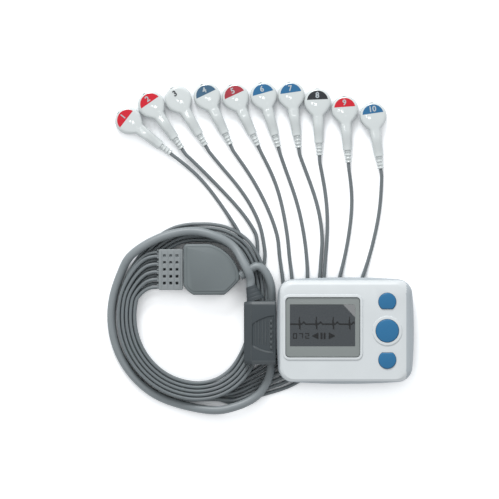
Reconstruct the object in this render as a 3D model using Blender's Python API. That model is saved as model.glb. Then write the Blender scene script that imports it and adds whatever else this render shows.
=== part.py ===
# Holter recorder with its ten-lead patient cable, metres, +Z up.
# The origin is the middle of the recorder, which lies face up on two layers of lead wire.
import bpy
import bmesh
import math
import numpy as np
from mathutils import Vector

MM = 0.001
GAP = 0.3 * MM  # seating gap between touching pieces
CUT_OVERRUN = 1.0 * MM  # how far a cutter runs past the face that it opens

# Recorder case
CASE_LENGTH = 78.2 * MM
CASE_WIDTH = 60.6 * MM
CASE_CORNER_RADIUS = 7.0 * MM
CASE_SIDE_BULGE = 1.6 * MM
CASE_EDGE_RADIUS = 3.0 * MM
CASE_WALL = 2.0 * MM
GASKET_THICKNESS = 0.5 * MM
GASKET_WIDTH = 1.2 * MM
GASKET_INSET = 0.4 * MM
FLOOR_BELOW_CASE = 2.5 * MM  # the case lies this high on the wires under it

# Display
WINDOW_FROM_LEFT = 5.25 * MM  # from the case's edges
WINDOW_FROM_TOP = 11.45 * MM
WINDOW_FROM_BOTTOM = 15.45 * MM
WINDOW_TO_KEYS = 15.65 * MM  # from its right side to the keys' centres
WINDOW_CORNER_RADIUS = 2.0 * MM
WINDOW_THICKNESS = 1.2 * MM
WINDOW_LEDGE = 1.6 * MM
LIP_WIDTH = 1.8 * MM
LIP_HEIGHT = 0.6 * MM
PANEL_MARGIN_X = 0.5 * MM  # from the window's edge to the panel's
PANEL_MARGIN_Y = 1.85 * MM
PANEL_THICKNESS = 1.7 * MM
FRAME_WALL = 1.5 * MM

# Circuit board
BOARD_THICKNESS = 1.6 * MM
BOARD_CLEARANCE = 0.9 * MM  # between the battery and the board
BOARD_TO_FRONT = 5.4 * MM  # from the board's top to the front of the case
SPLIT_BELOW_BOARD = 0.6 * MM
BOARD_INSET = 3.2 * MM  # from the case outline
BOSS_RADIUS = 3.3 * MM
BOSS_INSET_X = 9.2 * MM
BOSS_INSET_Y = 7.6 * MM
BOSS_FROM_CELL = 7.6 * MM  # its centre, from the battery's side
SCREW_RADIUS = 1.1 * MM
SCREW_HEAD_RADIUS = 2.0 * MM
SCREW_HEAD_HEIGHT = 1.4 * MM
SCREW_SINK = 0.4 * MM
SCREW_REACH = 2.2 * MM  # above the board, in the front shell's boss

# Keys
KEY_FROM_RIGHT = 15.3 * MM  # the keys' centres, from the case's edge
SELECT_RADIUS = 6.7 * MM
ARROW_RADIUS = 5.15 * MM
ARROW_FLAT = 4.1 * MM  # from the key's centre to its flat side
COLLAR_WIDTH = 1.5 * MM
KEY_SPACING = 4.2 * MM  # from the middle key's collar to an arrow key's flat side
COLLAR_HEIGHT = 0.5 * MM
KEY_PROUD = 1.1 * MM
KEY_FLANGE = 1.0 * MM
KEY_TRAVEL = 0.6 * MM
MAT_THICKNESS = 0.6 * MM
MAT_MARGIN = 1.5 * MM
DOME_RADIUS = 3.0 * MM

# Battery bay, a size AAA cell along Y behind the keys
CELL_DIAMETER = 10.5 * MM
CELL_LENGTH = 44.5 * MM
CELL_OFFSET = 0.8 * MM  # right of the keys
CELL_Y = 1.0 * MM
TERMINAL_DIAMETER = 3.8 * MM
TERMINAL_HEIGHT = 0.8 * MM
BAY_WALL = 1.2 * MM
BAY_CLEARANCE = 0.5 * MM
SPRING_WIRE = 0.5 * MM
SPRING_LENGTH = 3.2 * MM
SPRING_TURNS = 2
SPRING_STEPS = 10  # in each turn
SPRING_DIAMETER = 6.0 * MM
CONTACT_THICKNESS = 0.5 * MM
DOOR_THICKNESS = 1.3 * MM
DOOR_MARGIN = 1.6 * MM  # door past the bay opening on each side

# Memory card and its socket
CARD_WIDTH = 24.0 * MM
CARD_LENGTH = 32.0 * MM
CARD_THICKNESS = 2.1 * MM
CARD_CLEARANCE = 1.15 * MM  # between its socket and the screw boss beside it
CARD_BELOW_BOARD = 3.5 * MM  # its middle
CARD_RECESS = 0.6 * MM
CARD_NOTCH = 3.5 * MM
CARD_SOCKET_WALL = 1.0 * MM
CARD_SOCKET_SHORTER = 0.5 * MM  # than the card

# Lead plug and its socket
PLUG_LENGTH = 18.3 * MM  # along X, away from the case
PLUG_WIDTH = 36.2 * MM
PLUG_HEIGHT = 10.0 * MM
PLUG_Y = -1.2 * MM
PLUG_SLOPE = 4.2 * MM
PLUG_EDGE_RADIUS = 1.6 * MM
NOSE_WIDTH = 24.0 * MM
NOSE_DEPTH = 7.2 * MM
NOSE_HEIGHT = 5.0 * MM
NOSE_LEVEL = 8.3 * MM  # its middle, above the back of the case
SOCKET_WALL = 1.4 * MM
PLUG_BOOT_LENGTH = 8.2 * MM
PLUG_BOOT_ROOT_WIDTH = 10.0 * MM
PLUG_BOOT_ROOT_HEIGHT = 8.0 * MM
PLUG_BOOT_TIP_DIAMETER = 5.4 * MM
PLUG_BOOT_SHARES = (0.0, 0.45, 1.0)  # of its length, where it has rings
PLUG_BOOT_X = -51.3 * MM
PLUG_BOOT_TIP_X = -53.8 * MM
PLUG_MIDDLE = 10.0 * MM  # above the back of the case

# Yoke that splits the trunk cable into ten wires
YOKE_LENGTH = 32.0 * MM
YOKE_WIDTH = 29.1 * MM
YOKE_HEIGHT = 12.4 * MM
YOKE_X = -92.2 * MM  # its left face
YOKE_Y = 20.3 * MM  # its lower side
YOKE_WALL = 1.6 * MM
YOKE_EDGE_RADIUS = 1.2 * MM
YOKE_CORNER_SHARES = (0.6, 0.08, 0.2, 0.3)  # of the yoke's width: upper right, then turning left
COMB_LENGTH = 13.9 * MM
COMB_WIDTH = 23.3 * MM
COMB_Y = 34.75 * MM
COMB_BOTTOM = 4.6 * MM  # above the floor
COMB_THICKNESS = 4.9 * MM
COMB_HOLE = 1.55 * MM
COMB_HOLE_PITCH_X = 3.6 * MM
COMB_HOLE_PITCH_Y = 3.9 * MM
COMB_COLUMNS = 3
COMB_ROWS = 5
YOKE_BOOT_DIAMETER = 5.2 * MM
YOKE_BOOT_HEIGHT = 9.3 * MM  # its axis, above the floor
YOKE_BOOT_Y = 31.0 * MM

# Cables
WIRE_DIAMETER = 2.0 * MM
TRUNK_DIAMETER = 4.0 * MM
LEAD_COUNT = 10
LANE_PITCH = 2.3 * MM
LEVEL_PITCH = 2.3 * MM
RING_X = -82.7 * MM
RING_Y = 7.75 * MM
RING_RADIUS = 37.5 * MM
STATIONS_PER_TURN = 24
# Radius of the coil's inner lane at each station, every 15 degrees from +X, against its radius at the left
RING_SHAPE_SHARES = (
    0.764, 0.792, 0.883, 1.003, 1.128, 1.176, 1.168, 1.171, 1.120, 1.061, 1.024, 1.005,
    1.000, 1.000, 1.003, 1.008, 1.013, 1.013, 1.008, 0.981, 0.923, 0.848, 0.797, 0.771)
FIRST_STATION = 11  # where the wires from the comb join the ring
INNER_WIRES = 3  # the first wires, which go further round
INNER_TURNS = 1.5833
OUTER_TURNS = 1.25
FALL_STATIONS = ((19.0, 21.3), (28.7, 31.0))  # where the first turn comes down off the second
SPREAD_STATIONS = (41.6, 43.1)  # where the two wires of a lane part
DROP_STATIONS = (43.0, 44.5)  # where the upper one comes down to the floor
TANGENT_STEP = 0.01
TRUNK_OFFSET = 12.9 * MM  # outside the inner lane
COMB_FIRST_WIRE_Y = 24.6 * MM
COMB_WIRE_PITCH = 2.2 * MM
BEND_START_SHARE = 1.2  # of the wire's diameter, straight out of the comb
BEND_STEPS = 5
BEND_POWERS = (0.8, 1.3)  # flatten the quarter ellipse from the comb to the ring
RUN_SPACING = 6.0 * MM
TRUNK_SPACING = 6.5 * MM
SPAN_STEPS = 24
LEAST_SPAN = 0.003 * MM
CENTRIPETAL_POWER = 0.5
NEIGHBOUR_DIAMETERS = 4  # stretches nearer than this along a tube aren't compared

# Snap heads
DISC_RADIUS = 7.7 * MM
DISC_TO_BOOT = 30.5 * MM  # disc centre to the end of the head's boot
HEAD_HEIGHT = 6.4 * MM
NECK_WIDTH = 7.6 * MM
NECK_END_WIDTH = 5.4 * MM
BOOT_DIAMETER = 4.0 * MM
BOOT_LENGTH = 7.0 * MM
HEAD_ROUNDING_SHARE = 0.55  # of half its height or width
HEAD_STEPS = 6

# Sides of round and rounded shapes
CORNER_STEPS = 4
SIDE_STEPS = 4
EDGE_STEPS = 3
ROUND_SIDES = 20
SCREW_SIDES = 16
SHARP_ANGLE = math.radians(35)

# Levels above the back of the case, stacked up from the battery
BOARD_HEIGHT = DOOR_THICKNESS + GAP + CELL_DIAMETER + BOARD_CLEARANCE
CASE_HEIGHT = BOARD_HEIGHT + BOARD_THICKNESS + BOARD_TO_FRONT
SPLIT_HEIGHT = BOARD_HEIGHT - SPLIT_BELOW_BOARD
CARD_HEIGHT = BOARD_HEIGHT - CARD_BELOW_BOARD

# Window, keys and battery, set out from the case's edges
KEY_X = CASE_LENGTH / 2 - KEY_FROM_RIGHT
ARROW_Y = SELECT_RADIUS + COLLAR_WIDTH + KEY_SPACING + ARROW_FLAT
WINDOW_LENGTH = CASE_LENGTH - WINDOW_FROM_LEFT - WINDOW_TO_KEYS - KEY_FROM_RIGHT
WINDOW_WIDTH = CASE_WIDTH - WINDOW_FROM_TOP - WINDOW_FROM_BOTTOM
WINDOW_X = WINDOW_FROM_LEFT + WINDOW_LENGTH / 2 - CASE_LENGTH / 2
WINDOW_Y = (WINDOW_FROM_BOTTOM - WINDOW_FROM_TOP) / 2
PANEL_LENGTH = WINDOW_LENGTH - 2 * PANEL_MARGIN_X
PANEL_WIDTH = WINDOW_WIDTH - 2 * PANEL_MARGIN_Y
CELL_X = KEY_X + CELL_OFFSET

# Screw boss beside the battery, and the card next to it
BOSS_X = CELL_X - CELL_DIAMETER / 2 - BOSS_FROM_CELL
CARD_X = BOSS_X - BOSS_RADIUS - CARD_CLEARANCE - CARD_SOCKET_WALL - GAP - CARD_WIDTH / 2

# Levels from the origin, midway between the back of the case and the tops of the keys
CASE_BOTTOM = -(CASE_HEIGHT + KEY_PROUD) / 2
CASE_TOP = CASE_BOTTOM + CASE_HEIGHT
FLOOR = CASE_BOTTOM - FLOOR_BELOW_CASE
CEILING = CASE_TOP - CASE_WALL
SPLIT = CASE_BOTTOM + SPLIT_HEIGHT
BOARD_UNDERSIDE = CASE_BOTTOM + BOARD_HEIGHT
BOARD_TOP = BOARD_UNDERSIDE + BOARD_THICKNESS


def clear_scene():
    for item in list(bpy.data.objects):
        bpy.data.objects.remove(item, do_unlink=True)


def material(name, colour, roughness, metallic=0.0):
    finish = bpy.data.materials.new(name)
    finish.use_nodes = True
    shader = finish.node_tree.nodes["Principled BSDF"]
    shader.inputs["Base Color"].default_value = (*colour, 1.0)
    shader.inputs["Roughness"].default_value = roughness
    shader.inputs["Metallic"].default_value = metallic
    finish.diffuse_color = (*colour, 1.0)
    return finish


def solid_from_rings(name, rings, finish=None, sharp_angle=SHARP_ANGLE):
    """One closed body lofted through rings of equally many points, capped at both ends."""
    shape = bmesh.new()
    loops = [[shape.verts.new(point) for point in ring] for ring in rings]
    count = len(rings[0])
    for lower, upper in zip(loops, loops[1:]):
        for i in range(count):
            j = (i + 1) % count
            shape.faces.new((lower[i], lower[j], upper[j], upper[i]))
    shape.faces.new(list(reversed(loops[0])))
    shape.faces.new(loops[-1])
    bmesh.ops.recalc_face_normals(shape, faces=shape.faces)
    if shape.calc_volume(signed=True) < 0:
        bmesh.ops.reverse_faces(shape, faces=shape.faces)
    mesh = bpy.data.meshes.new(name)
    shape.to_mesh(mesh)
    shape.free()
    mesh.shade_smooth()
    mesh.set_sharp_from_angle(angle=sharp_angle)
    body = bpy.data.objects.new(name, mesh)
    bpy.context.scene.collection.objects.link(body)
    if finish:
        mesh.materials.append(finish)
    return body


def joined_mesh(name, pieces, finish=None):
    """Several separate bodies gathered in one object."""
    shape = bmesh.new()
    for piece in pieces:
        moved = piece.data.copy()
        moved.transform(piece.matrix_basis)
        shape.from_mesh(moved)
        bpy.data.meshes.remove(moved)
        bpy.data.objects.remove(piece)
    mesh = bpy.data.meshes.new(name)
    shape.to_mesh(mesh)
    shape.free()
    body = bpy.data.objects.new(name, mesh)
    bpy.context.scene.collection.objects.link(body)
    if finish:
        mesh.materials.append(finish)
    return body


def boolean(body, tools, operation="DIFFERENCE"):
    """Cuts or adds tools, which stay in the file as wire frames."""
    tool = joined_mesh(body.name + "_" + operation.lower(), tools)
    tool.hide_render = True
    tool.display_type = "WIRE"
    step = body.modifiers.new(operation.title(), "BOOLEAN")
    step.operation = operation
    step.solver = "EXACT"
    step.object = tool


def rounded_outline(length, width, radius, steps=CORNER_STEPS, centre=(0.0, 0.0)):
    points = []
    for quarter in range(4):
        sign_x = 1 if quarter in (0, 3) else -1
        sign_y = 1 if quarter in (0, 1) else -1
        corner_x = sign_x * (length / 2 - radius)
        corner_y = sign_y * (width / 2 - radius)
        for step in range(steps + 1):
            angle = math.pi / 2 * (quarter + step / steps)
            points.append((centre[0] + corner_x + radius * math.cos(angle),
                           centre[1] + corner_y + radius * math.sin(angle)))
    return points


def round_outline(radius, centre=(0.0, 0.0), sides=ROUND_SIDES):
    turns = [2 * math.pi * i / sides for i in range(sides)]
    return [(centre[0] + radius * math.cos(a), centre[1] + radius * math.sin(a)) for a in turns]


def at_height(outline, height):
    return [(x, y, height) for x, y in outline]


def prism(name, outline, bottom, top, finish=None):
    return solid_from_rings(name, [at_height(outline, bottom), at_height(outline, top)], finish)


def block(name, low, high, finish=None):
    outline = [(low[0], low[1]), (high[0], low[1]), (high[0], high[1]), (low[0], high[1])]
    return prism(name, outline, low[2], high[2], finish)


def case_outline(inset=0.0, side_steps=SIDE_STEPS):
    """Rounded rectangle whose four sides swell a little."""
    length = CASE_LENGTH - 2 * CASE_SIDE_BULGE
    width = CASE_WIDTH - 2 * CASE_SIDE_BULGE
    base = rounded_outline(length, width, CASE_CORNER_RADIUS)
    dense = []
    corner_points = CORNER_STEPS + 1
    for i, point in enumerate(base):
        dense.append(point)
        if i % corner_points == corner_points - 1:
            following = base[(i + 1) % len(base)]
            for step in range(1, side_steps):
                share = step / side_steps
                dense.append((point[0] + (following[0] - point[0]) * share,
                              point[1] + (following[1] - point[1]) * share))
    shaped = []
    for x, y in dense:
        swell_x = 1 + 2 * CASE_SIDE_BULGE / length * (1 - (2 * y / width) ** 2)
        swell_y = 1 + 2 * CASE_SIDE_BULGE / width * (1 - (2 * x / length) ** 2)
        shaped.append((x * swell_x * (1 - 2 * inset / CASE_LENGTH),
                       y * swell_y * (1 - 2 * inset / CASE_WIDTH)))
    return shaped


def case_shell_rings(outer_end, seam):
    """From the closed outer face round the edge to the seam, and back up inside."""
    inward = 1 if seam > outer_end else -1
    rings = []
    for step in range(CORNER_STEPS):
        angle = math.pi / 2 * step / (CORNER_STEPS - 1)
        inset = CASE_EDGE_RADIUS * (1 - math.sin(angle))
        height = outer_end + inward * CASE_EDGE_RADIUS * (1 - math.cos(angle))
        rings.append(at_height(case_outline(inset), height))
    rings.append(at_height(case_outline(), seam))
    rings.append(at_height(case_outline(CASE_WALL), seam))
    inner_end = outer_end + inward * CASE_WALL
    inner_edge = CASE_EDGE_RADIUS - CASE_WALL
    rings.append(at_height(case_outline(CASE_WALL), inner_end + inward * inner_edge))
    rings.append(at_height(case_outline(CASE_EDGE_RADIUS), inner_end))
    return rings


def key_outline(radius, flat_side, centre_y, margin=0.0):
    """A circle, cut straight on the side towards the middle key."""
    points = []
    for x, y in round_outline(radius + margin):
        if flat_side > 0:
            y = min(y, ARROW_FLAT + margin)
        if flat_side < 0:
            y = max(y, -ARROW_FLAT - margin)
        points.append((KEY_X + x, centre_y + y))
    return points


KEYS = {
    "up_button": (ARROW_RADIUS, -1, ARROW_Y),
    "select_button": (SELECT_RADIUS, 0, 0.0),
    "down_button": (ARROW_RADIUS, 1, -ARROW_Y),
}
WINDOW_CENTRE = (WINDOW_X, WINDOW_Y)
WINDOW_SEAT = CASE_TOP - WINDOW_THICKNESS - GAP


def boss_places():
    x = CASE_LENGTH / 2 - BOSS_INSET_X
    y = CASE_WIDTH / 2 - BOSS_INSET_Y
    return [(-x, y), (-x, -y), (BOSS_X, y), (BOSS_X, -y)]


def front_shell(plastic):
    seam = SPLIT + GASKET_THICKNESS / 2 + GAP
    shell = solid_from_rings("front_shell", case_shell_rings(CASE_TOP, seam), plastic)
    rooted = CASE_TOP - CASE_WALL / 2
    lip = rounded_outline(WINDOW_LENGTH + 2 * LIP_WIDTH, WINDOW_WIDTH + 2 * LIP_WIDTH,
                          WINDOW_CORNER_RADIUS + LIP_WIDTH, centre=WINDOW_CENTRE)
    collar = round_outline(SELECT_RADIUS + GAP + COLLAR_WIDTH, (KEY_X, 0.0))
    raised = [prism("lip", lip, rooted, CASE_TOP + LIP_HEIGHT),
              prism("collar", collar, rooted, CASE_TOP + COLLAR_HEIGHT)]
    for place in boss_places():
        raised.append(prism("boss", round_outline(BOSS_RADIUS, place), BOARD_TOP + GAP, rooted))
    boolean(shell, raised, "UNION")
    above = CASE_TOP + KEY_PROUD + CUT_OVERRUN
    seat = rounded_outline(WINDOW_LENGTH + 2 * GAP, WINDOW_WIDTH + 2 * GAP,
                           WINDOW_CORNER_RADIUS + GAP, centre=WINDOW_CENTRE)
    sight = rounded_outline(WINDOW_LENGTH - 2 * WINDOW_LEDGE, WINDOW_WIDTH - 2 * WINDOW_LEDGE,
                            WINDOW_CORNER_RADIUS, centre=WINDOW_CENTRE)
    boolean(shell, [prism("seat", seat, WINDOW_SEAT, above)])
    holes = [prism("sight", sight, CEILING - CUT_OVERRUN, above)]
    for radius, flat_side, centre_y in KEYS.values():
        outline = key_outline(radius, flat_side, centre_y, GAP)
        holes.append(prism("key_hole", outline, CEILING - CUT_OVERRUN, above))
    for place in boss_places():
        pilot = round_outline(SCREW_RADIUS + GAP, place)
        holes.append(prism("pilot", pilot, BOARD_TOP, BOARD_TOP + SCREW_REACH + GAP))
    boolean(shell, holes)


def bay_box(margin):
    """Low and high corners in plan of the battery bay, with a margin round it."""
    half = CELL_DIAMETER / 2 + BAY_CLEARANCE + margin
    back = CELL_Y - CELL_LENGTH / 2 - SPRING_LENGTH - 2 * GAP - margin
    front = CELL_Y + CELL_LENGTH / 2 + TERMINAL_HEIGHT + CONTACT_THICKNESS + 2 * GAP + margin
    return (CELL_X - half, back), (CELL_X + half, front)


def door_box(margin):
    low, high = bay_box(DOOR_MARGIN + margin)
    outside = -CASE_WIDTH / 2 - CUT_OVERRUN
    top = CASE_BOTTOM + DOOR_THICKNESS + margin
    return (low[0], outside, CASE_BOTTOM - CUT_OVERRUN), (high[0], high[1], top)


def card_box(margin):
    outside = -CASE_WIDTH / 2 + CARD_RECESS
    middle = CASE_BOTTOM + CARD_HEIGHT
    half = CARD_WIDTH / 2 + margin
    low = (CARD_X - half, outside, middle - CARD_THICKNESS / 2 - margin)
    high = (CARD_X + half, outside + CARD_LENGTH + margin, middle + CARD_THICKNESS / 2 + margin)
    return low, high


def nose_box(margin):
    root = -CASE_LENGTH / 2
    middle = CASE_BOTTOM + NOSE_LEVEL
    half_width = NOSE_WIDTH / 2 + margin
    half_height = NOSE_HEIGHT / 2 + margin
    low = (root, PLUG_Y - half_width, middle - half_height)
    high = (root + NOSE_DEPTH + margin, PLUG_Y + half_width, middle + half_height)
    return low, high


def rear_shell(plastic):
    seam = SPLIT - GASKET_THICKNESS / 2 - GAP
    shell = solid_from_rings("rear_shell", case_shell_rings(CASE_BOTTOM, seam), plastic)
    rooted = CASE_BOTTOM + CASE_WALL / 2
    low, high = bay_box(BAY_WALL)
    top = BOARD_UNDERSIDE - GAP
    walls = [block("bay_walls", (*low, rooted), (*high, top))]
    for place in boss_places():
        walls.append(prism("boss", round_outline(BOSS_RADIUS, place), rooted, top))
    boolean(shell, walls, "UNION")
    low, high = bay_box(0.0)
    below = CASE_BOTTOM - CUT_OVERRUN
    openings = [block("bay", (*low, below), (*high, top + CUT_OVERRUN))]
    head_top = CASE_BOTTOM + SCREW_SINK + SCREW_HEAD_HEIGHT + GAP
    for place in boss_places():
        rings = [at_height(round_outline(SCREW_HEAD_RADIUS + GAP, place), below),
                 at_height(round_outline(SCREW_HEAD_RADIUS + GAP, place), head_top),
                 at_height(round_outline(SCREW_RADIUS + GAP, place), head_top),
                 at_height(round_outline(SCREW_RADIUS + GAP, place), top + CUT_OVERRUN)]
        openings.append(solid_from_rings("screw_hole", rings))
    slot_low, slot_high = card_box(GAP)
    openings.append(block("card_slot", (slot_low[0], -CASE_WIDTH / 2 - CUT_OVERRUN, slot_low[2]),
                          (slot_high[0], -CASE_WIDTH / 2 + CASE_WALL + CUT_OVERRUN, slot_high[2])))
    port_low, port_high = nose_box(GAP)
    openings.append(block("port", (port_low[0] - CUT_OVERRUN, *port_low[1:]),
                          (port_low[0] + CASE_WALL + CUT_OVERRUN, *port_high[1:])))
    boolean(shell, openings)
    boolean(shell, [block("door_seat", *door_box(GAP))])


def battery_door(plastic):
    rings = case_shell_rings(CASE_BOTTOM, SPLIT)[:CORNER_STEPS + 1]
    door = solid_from_rings("battery_door", rings, plastic)
    boolean(door, [block("door_extent", *door_box(0.0))], "INTERSECT")


def case_gasket(rubber):
    low = SPLIT - GASKET_THICKNESS / 2
    high = SPLIT + GASKET_THICKNESS / 2
    gasket = prism("case_gasket", case_outline(GASKET_INSET), low, high, rubber)
    inner = case_outline(GASKET_INSET + GASKET_WIDTH)
    boolean(gasket, [prism("gasket_inside", inner, low - CUT_OVERRUN, high + CUT_OVERRUN)])


def display(glass, dark_glass, metal):
    outline = rounded_outline(WINDOW_LENGTH, WINDOW_WIDTH, WINDOW_CORNER_RADIUS, centre=WINDOW_CENTRE)
    prism("display_window", outline, WINDOW_SEAT + GAP, CASE_TOP, glass)
    panel_top = CEILING - GAP
    panel_bottom = panel_top - PANEL_THICKNESS
    half = (PANEL_LENGTH / 2, PANEL_WIDTH / 2)
    block("lcd_panel", (WINDOW_X - half[0], WINDOW_Y - half[1], panel_bottom),
          (WINDOW_X + half[0], WINDOW_Y + half[1], panel_top), dark_glass)
    wide = (half[0] + GAP + FRAME_WALL, half[1] + GAP + FRAME_WALL)
    frame = block("display_frame", (WINDOW_X - wide[0], WINDOW_Y - wide[1], BOARD_TOP + GAP),
                  (WINDOW_X + wide[0], WINDOW_Y + wide[1], panel_top), metal)
    pocket = block("panel_pocket", (WINDOW_X - half[0] - GAP, WINDOW_Y - half[1] - GAP, panel_bottom - GAP),
                   (WINDOW_X + half[0] + GAP, WINDOW_Y + half[1] + GAP, panel_top + CUT_OVERRUN))
    boolean(frame, [pocket])


def circuit_board(laminate):
    board = prism("circuit_board", case_outline(BOARD_INSET), BOARD_UNDERSIDE, BOARD_TOP, laminate)
    holes = [prism("board_hole", round_outline(SCREW_RADIUS + GAP, place), BOARD_UNDERSIDE - CUT_OVERRUN,
                   BOARD_TOP + CUT_OVERRUN) for place in boss_places()]
    boolean(board, holes)


def keys(blue, rubber):
    flange_top = CEILING - GAP
    top = CASE_TOP + KEY_PROUD
    edge = KEY_FLANGE / 2
    for name, (radius, flat_side, centre_y) in KEYS.items():
        flange = key_outline(radius, flat_side, centre_y, KEY_FLANGE)
        cap = key_outline(radius, flat_side, centre_y)
        crown = key_outline(radius, flat_side, centre_y, -edge)
        rings = [at_height(flange, flange_top - KEY_FLANGE), at_height(flange, flange_top),
                 at_height(cap, flange_top), at_height(cap, top - edge), at_height(crown, top)]
        key = solid_from_rings(name, rings, blue)
        place = Vector((KEY_X, centre_y, flange_top - KEY_FLANGE))
        key.data.transform(key.matrix_basis.Translation(-place))
        key.location = place
    length = 2 * (SELECT_RADIUS + MAT_MARGIN)
    width = 2 * (ARROW_Y + ARROW_RADIUS + MAT_MARGIN)
    base = BOARD_TOP + GAP
    outline = rounded_outline(length, width, MAT_MARGIN, centre=(KEY_X, 0.0))
    mat = prism("keypad_mat", outline, base, base + MAT_THICKNESS, rubber)
    dome_top = flange_top - KEY_FLANGE - KEY_TRAVEL - GAP
    domes = [prism("dome", round_outline(DOME_RADIUS, (KEY_X, centre_y)), base + MAT_THICKNESS / 2, dome_top)
             for _, _, centre_y in KEYS.values()]
    boolean(mat, domes, "UNION")


def turned(name, profile, place, axis, finish, sides=ROUND_SIDES):
    """A solid of revolution; the profile lists (radius, distance along the axis)."""
    rings = []
    for radius, distance in profile:
        ring = []
        for u, v in round_outline(radius, sides=sides):
            local = {"X": (distance, u, v), "Y": (u, distance, v), "Z": (u, v, distance)}[axis]
            ring.append(Vector(local) + Vector(place))
        rings.append(ring)
    return solid_from_rings(name, rings, finish)


def tube(name, points, diameter, resolution, finish):
    """A round tube with filled ends along a chain of points."""
    curve = bpy.data.curves.new(name, "CURVE")
    curve.dimensions = "3D"
    curve.bevel_depth = diameter / 2
    curve.bevel_resolution = resolution
    curve.use_fill_caps = True
    spline = curve.splines.new("POLY")
    spline.points.add(len(points) - 1)
    for target, point in zip(spline.points, points):
        target.co = (*point, 1.0)
    curve.materials.append(finish)
    body = bpy.data.objects.new(name, curve)
    bpy.context.scene.collection.objects.link(body)
    return body


def battery(jacket, steel):
    radius = CELL_DIAMETER / 2
    middle = CASE_BOTTOM + DOOR_THICKNESS + GAP + radius
    half = CELL_LENGTH / 2
    profile = [(radius, -half), (radius, half), (TERMINAL_DIAMETER / 2, half),
               (TERMINAL_DIAMETER / 2, half + TERMINAL_HEIGHT)]
    turned("battery", profile, (CELL_X, CELL_Y, middle), "Y", jacket)
    low, high = bay_box(0.0)
    contact_y = high[1] - GAP
    side = CELL_DIAMETER / 2 - GAP
    block("battery_contact", (CELL_X - side, contact_y - CONTACT_THICKNESS, middle - side),
          (CELL_X + side, contact_y, middle + side), steel)
    points = []
    steps = SPRING_STEPS * SPRING_TURNS
    coil_radius = (SPRING_DIAMETER - SPRING_WIRE) / 2
    start = low[1] + GAP + SPRING_WIRE / 2
    rise = SPRING_LENGTH - SPRING_WIRE
    for step in range(steps + 1):
        angle = 2 * math.pi * SPRING_TURNS * step / steps
        points.append((CELL_X + coil_radius * math.cos(angle), start + rise * step / steps,
                       middle + coil_radius * math.sin(angle)))
    tube("battery_spring", points, SPRING_WIRE, 1, steel)


def memory_card(card_plastic, socket_metal):
    low, high = card_box(0.0)
    outline = [(low[0], low[1]), (high[0], low[1]), (high[0], high[1] - CARD_NOTCH),
               (high[0] - CARD_NOTCH, high[1]), (low[0], high[1])]
    prism("memory_card", outline, low[2], high[2], card_plastic)
    inner_low, inner_high = card_box(GAP)
    mouth = -CASE_WIDTH / 2 + CASE_WALL + 2 * GAP
    wall = CARD_SOCKET_WALL
    socket = block("card_socket", (inner_low[0] - wall, mouth, inner_low[2] - wall),
                   (inner_high[0] + wall, mouth + CARD_LENGTH - CARD_SOCKET_SHORTER, BOARD_UNDERSIDE - GAP), socket_metal)
    boolean(socket, [block("card_space", inner_low, inner_high)])


def lead_socket(plastic):
    low, high = nose_box(GAP)
    root = -CASE_LENGTH / 2 + CASE_WALL + 2 * GAP
    socket = block("lead_socket", (root, low[1] - SOCKET_WALL, low[2] - SOCKET_WALL),
                   (high[0] + SOCKET_WALL, high[1] + SOCKET_WALL, BOARD_UNDERSIDE - GAP), plastic)
    boolean(socket, [block("nose_space", low, high)])


def case_screws(steel):
    head_bottom = CASE_BOTTOM + SCREW_SINK
    head_top = head_bottom + SCREW_HEAD_HEIGHT
    profile = [(SCREW_HEAD_RADIUS, head_bottom), (SCREW_HEAD_RADIUS, head_top), (SCREW_RADIUS, head_top),
               (SCREW_RADIUS, BOARD_TOP + SCREW_REACH)]
    for i, place in enumerate(boss_places()):
        turned("case_screw_%d" % (i + 1), profile, (*place, 0.0), "Z", steel, sides=SCREW_SIDES)


def plug(dark_plastic, pale_plastic, rubber):
    face = -CASE_LENGTH / 2 - GAP
    middle = CASE_BOTTOM + PLUG_MIDDLE
    back_height = PLUG_HEIGHT / 2 - PLUG_EDGE_RADIUS
    stations = [(face - PLUG_LENGTH, PLUG_WIDTH - 2 * PLUG_EDGE_RADIUS, back_height),
                (face - PLUG_LENGTH + PLUG_SLOPE / 2, PLUG_WIDTH, back_height + PLUG_EDGE_RADIUS),
                (face - PLUG_LENGTH + PLUG_SLOPE, PLUG_WIDTH, PLUG_HEIGHT),
                (face, PLUG_WIDTH, PLUG_HEIGHT)]
    rings = []
    for x, width, height in stations:
        outline = rounded_outline(width, height, PLUG_EDGE_RADIUS, steps=EDGE_STEPS)
        rings.append([(x, PLUG_Y + u, middle + v) for u, v in outline])
    solid_from_rings("plug_cover", rings, dark_plastic)
    low, high = nose_box(0.0)
    block("plug_contacts", low, high, pale_plastic)
    root = PLUG_Y + PLUG_WIDTH / 2 + GAP
    rings = []
    for share in PLUG_BOOT_SHARES:
        centre = PLUG_BOOT_X + (PLUG_BOOT_TIP_X - PLUG_BOOT_X) * share
        width = PLUG_BOOT_ROOT_WIDTH + (PLUG_BOOT_TIP_DIAMETER - PLUG_BOOT_ROOT_WIDTH) * share
        height = PLUG_BOOT_ROOT_HEIGHT + (PLUG_BOOT_TIP_DIAMETER - PLUG_BOOT_ROOT_HEIGHT) * share
        outline = rounded_outline(width, height, PLUG_BOOT_TIP_DIAMETER / 2 - GAP, steps=EDGE_STEPS)
        rings.append([(centre + u, root + PLUG_BOOT_LENGTH * share, middle + v) for u, v in outline])
    solid_from_rings("plug_boot", rings, rubber)


YOKE_RIGHT = YOKE_X + YOKE_LENGTH
YOKE_TOP_SIDE = YOKE_Y + YOKE_WIDTH


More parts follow.
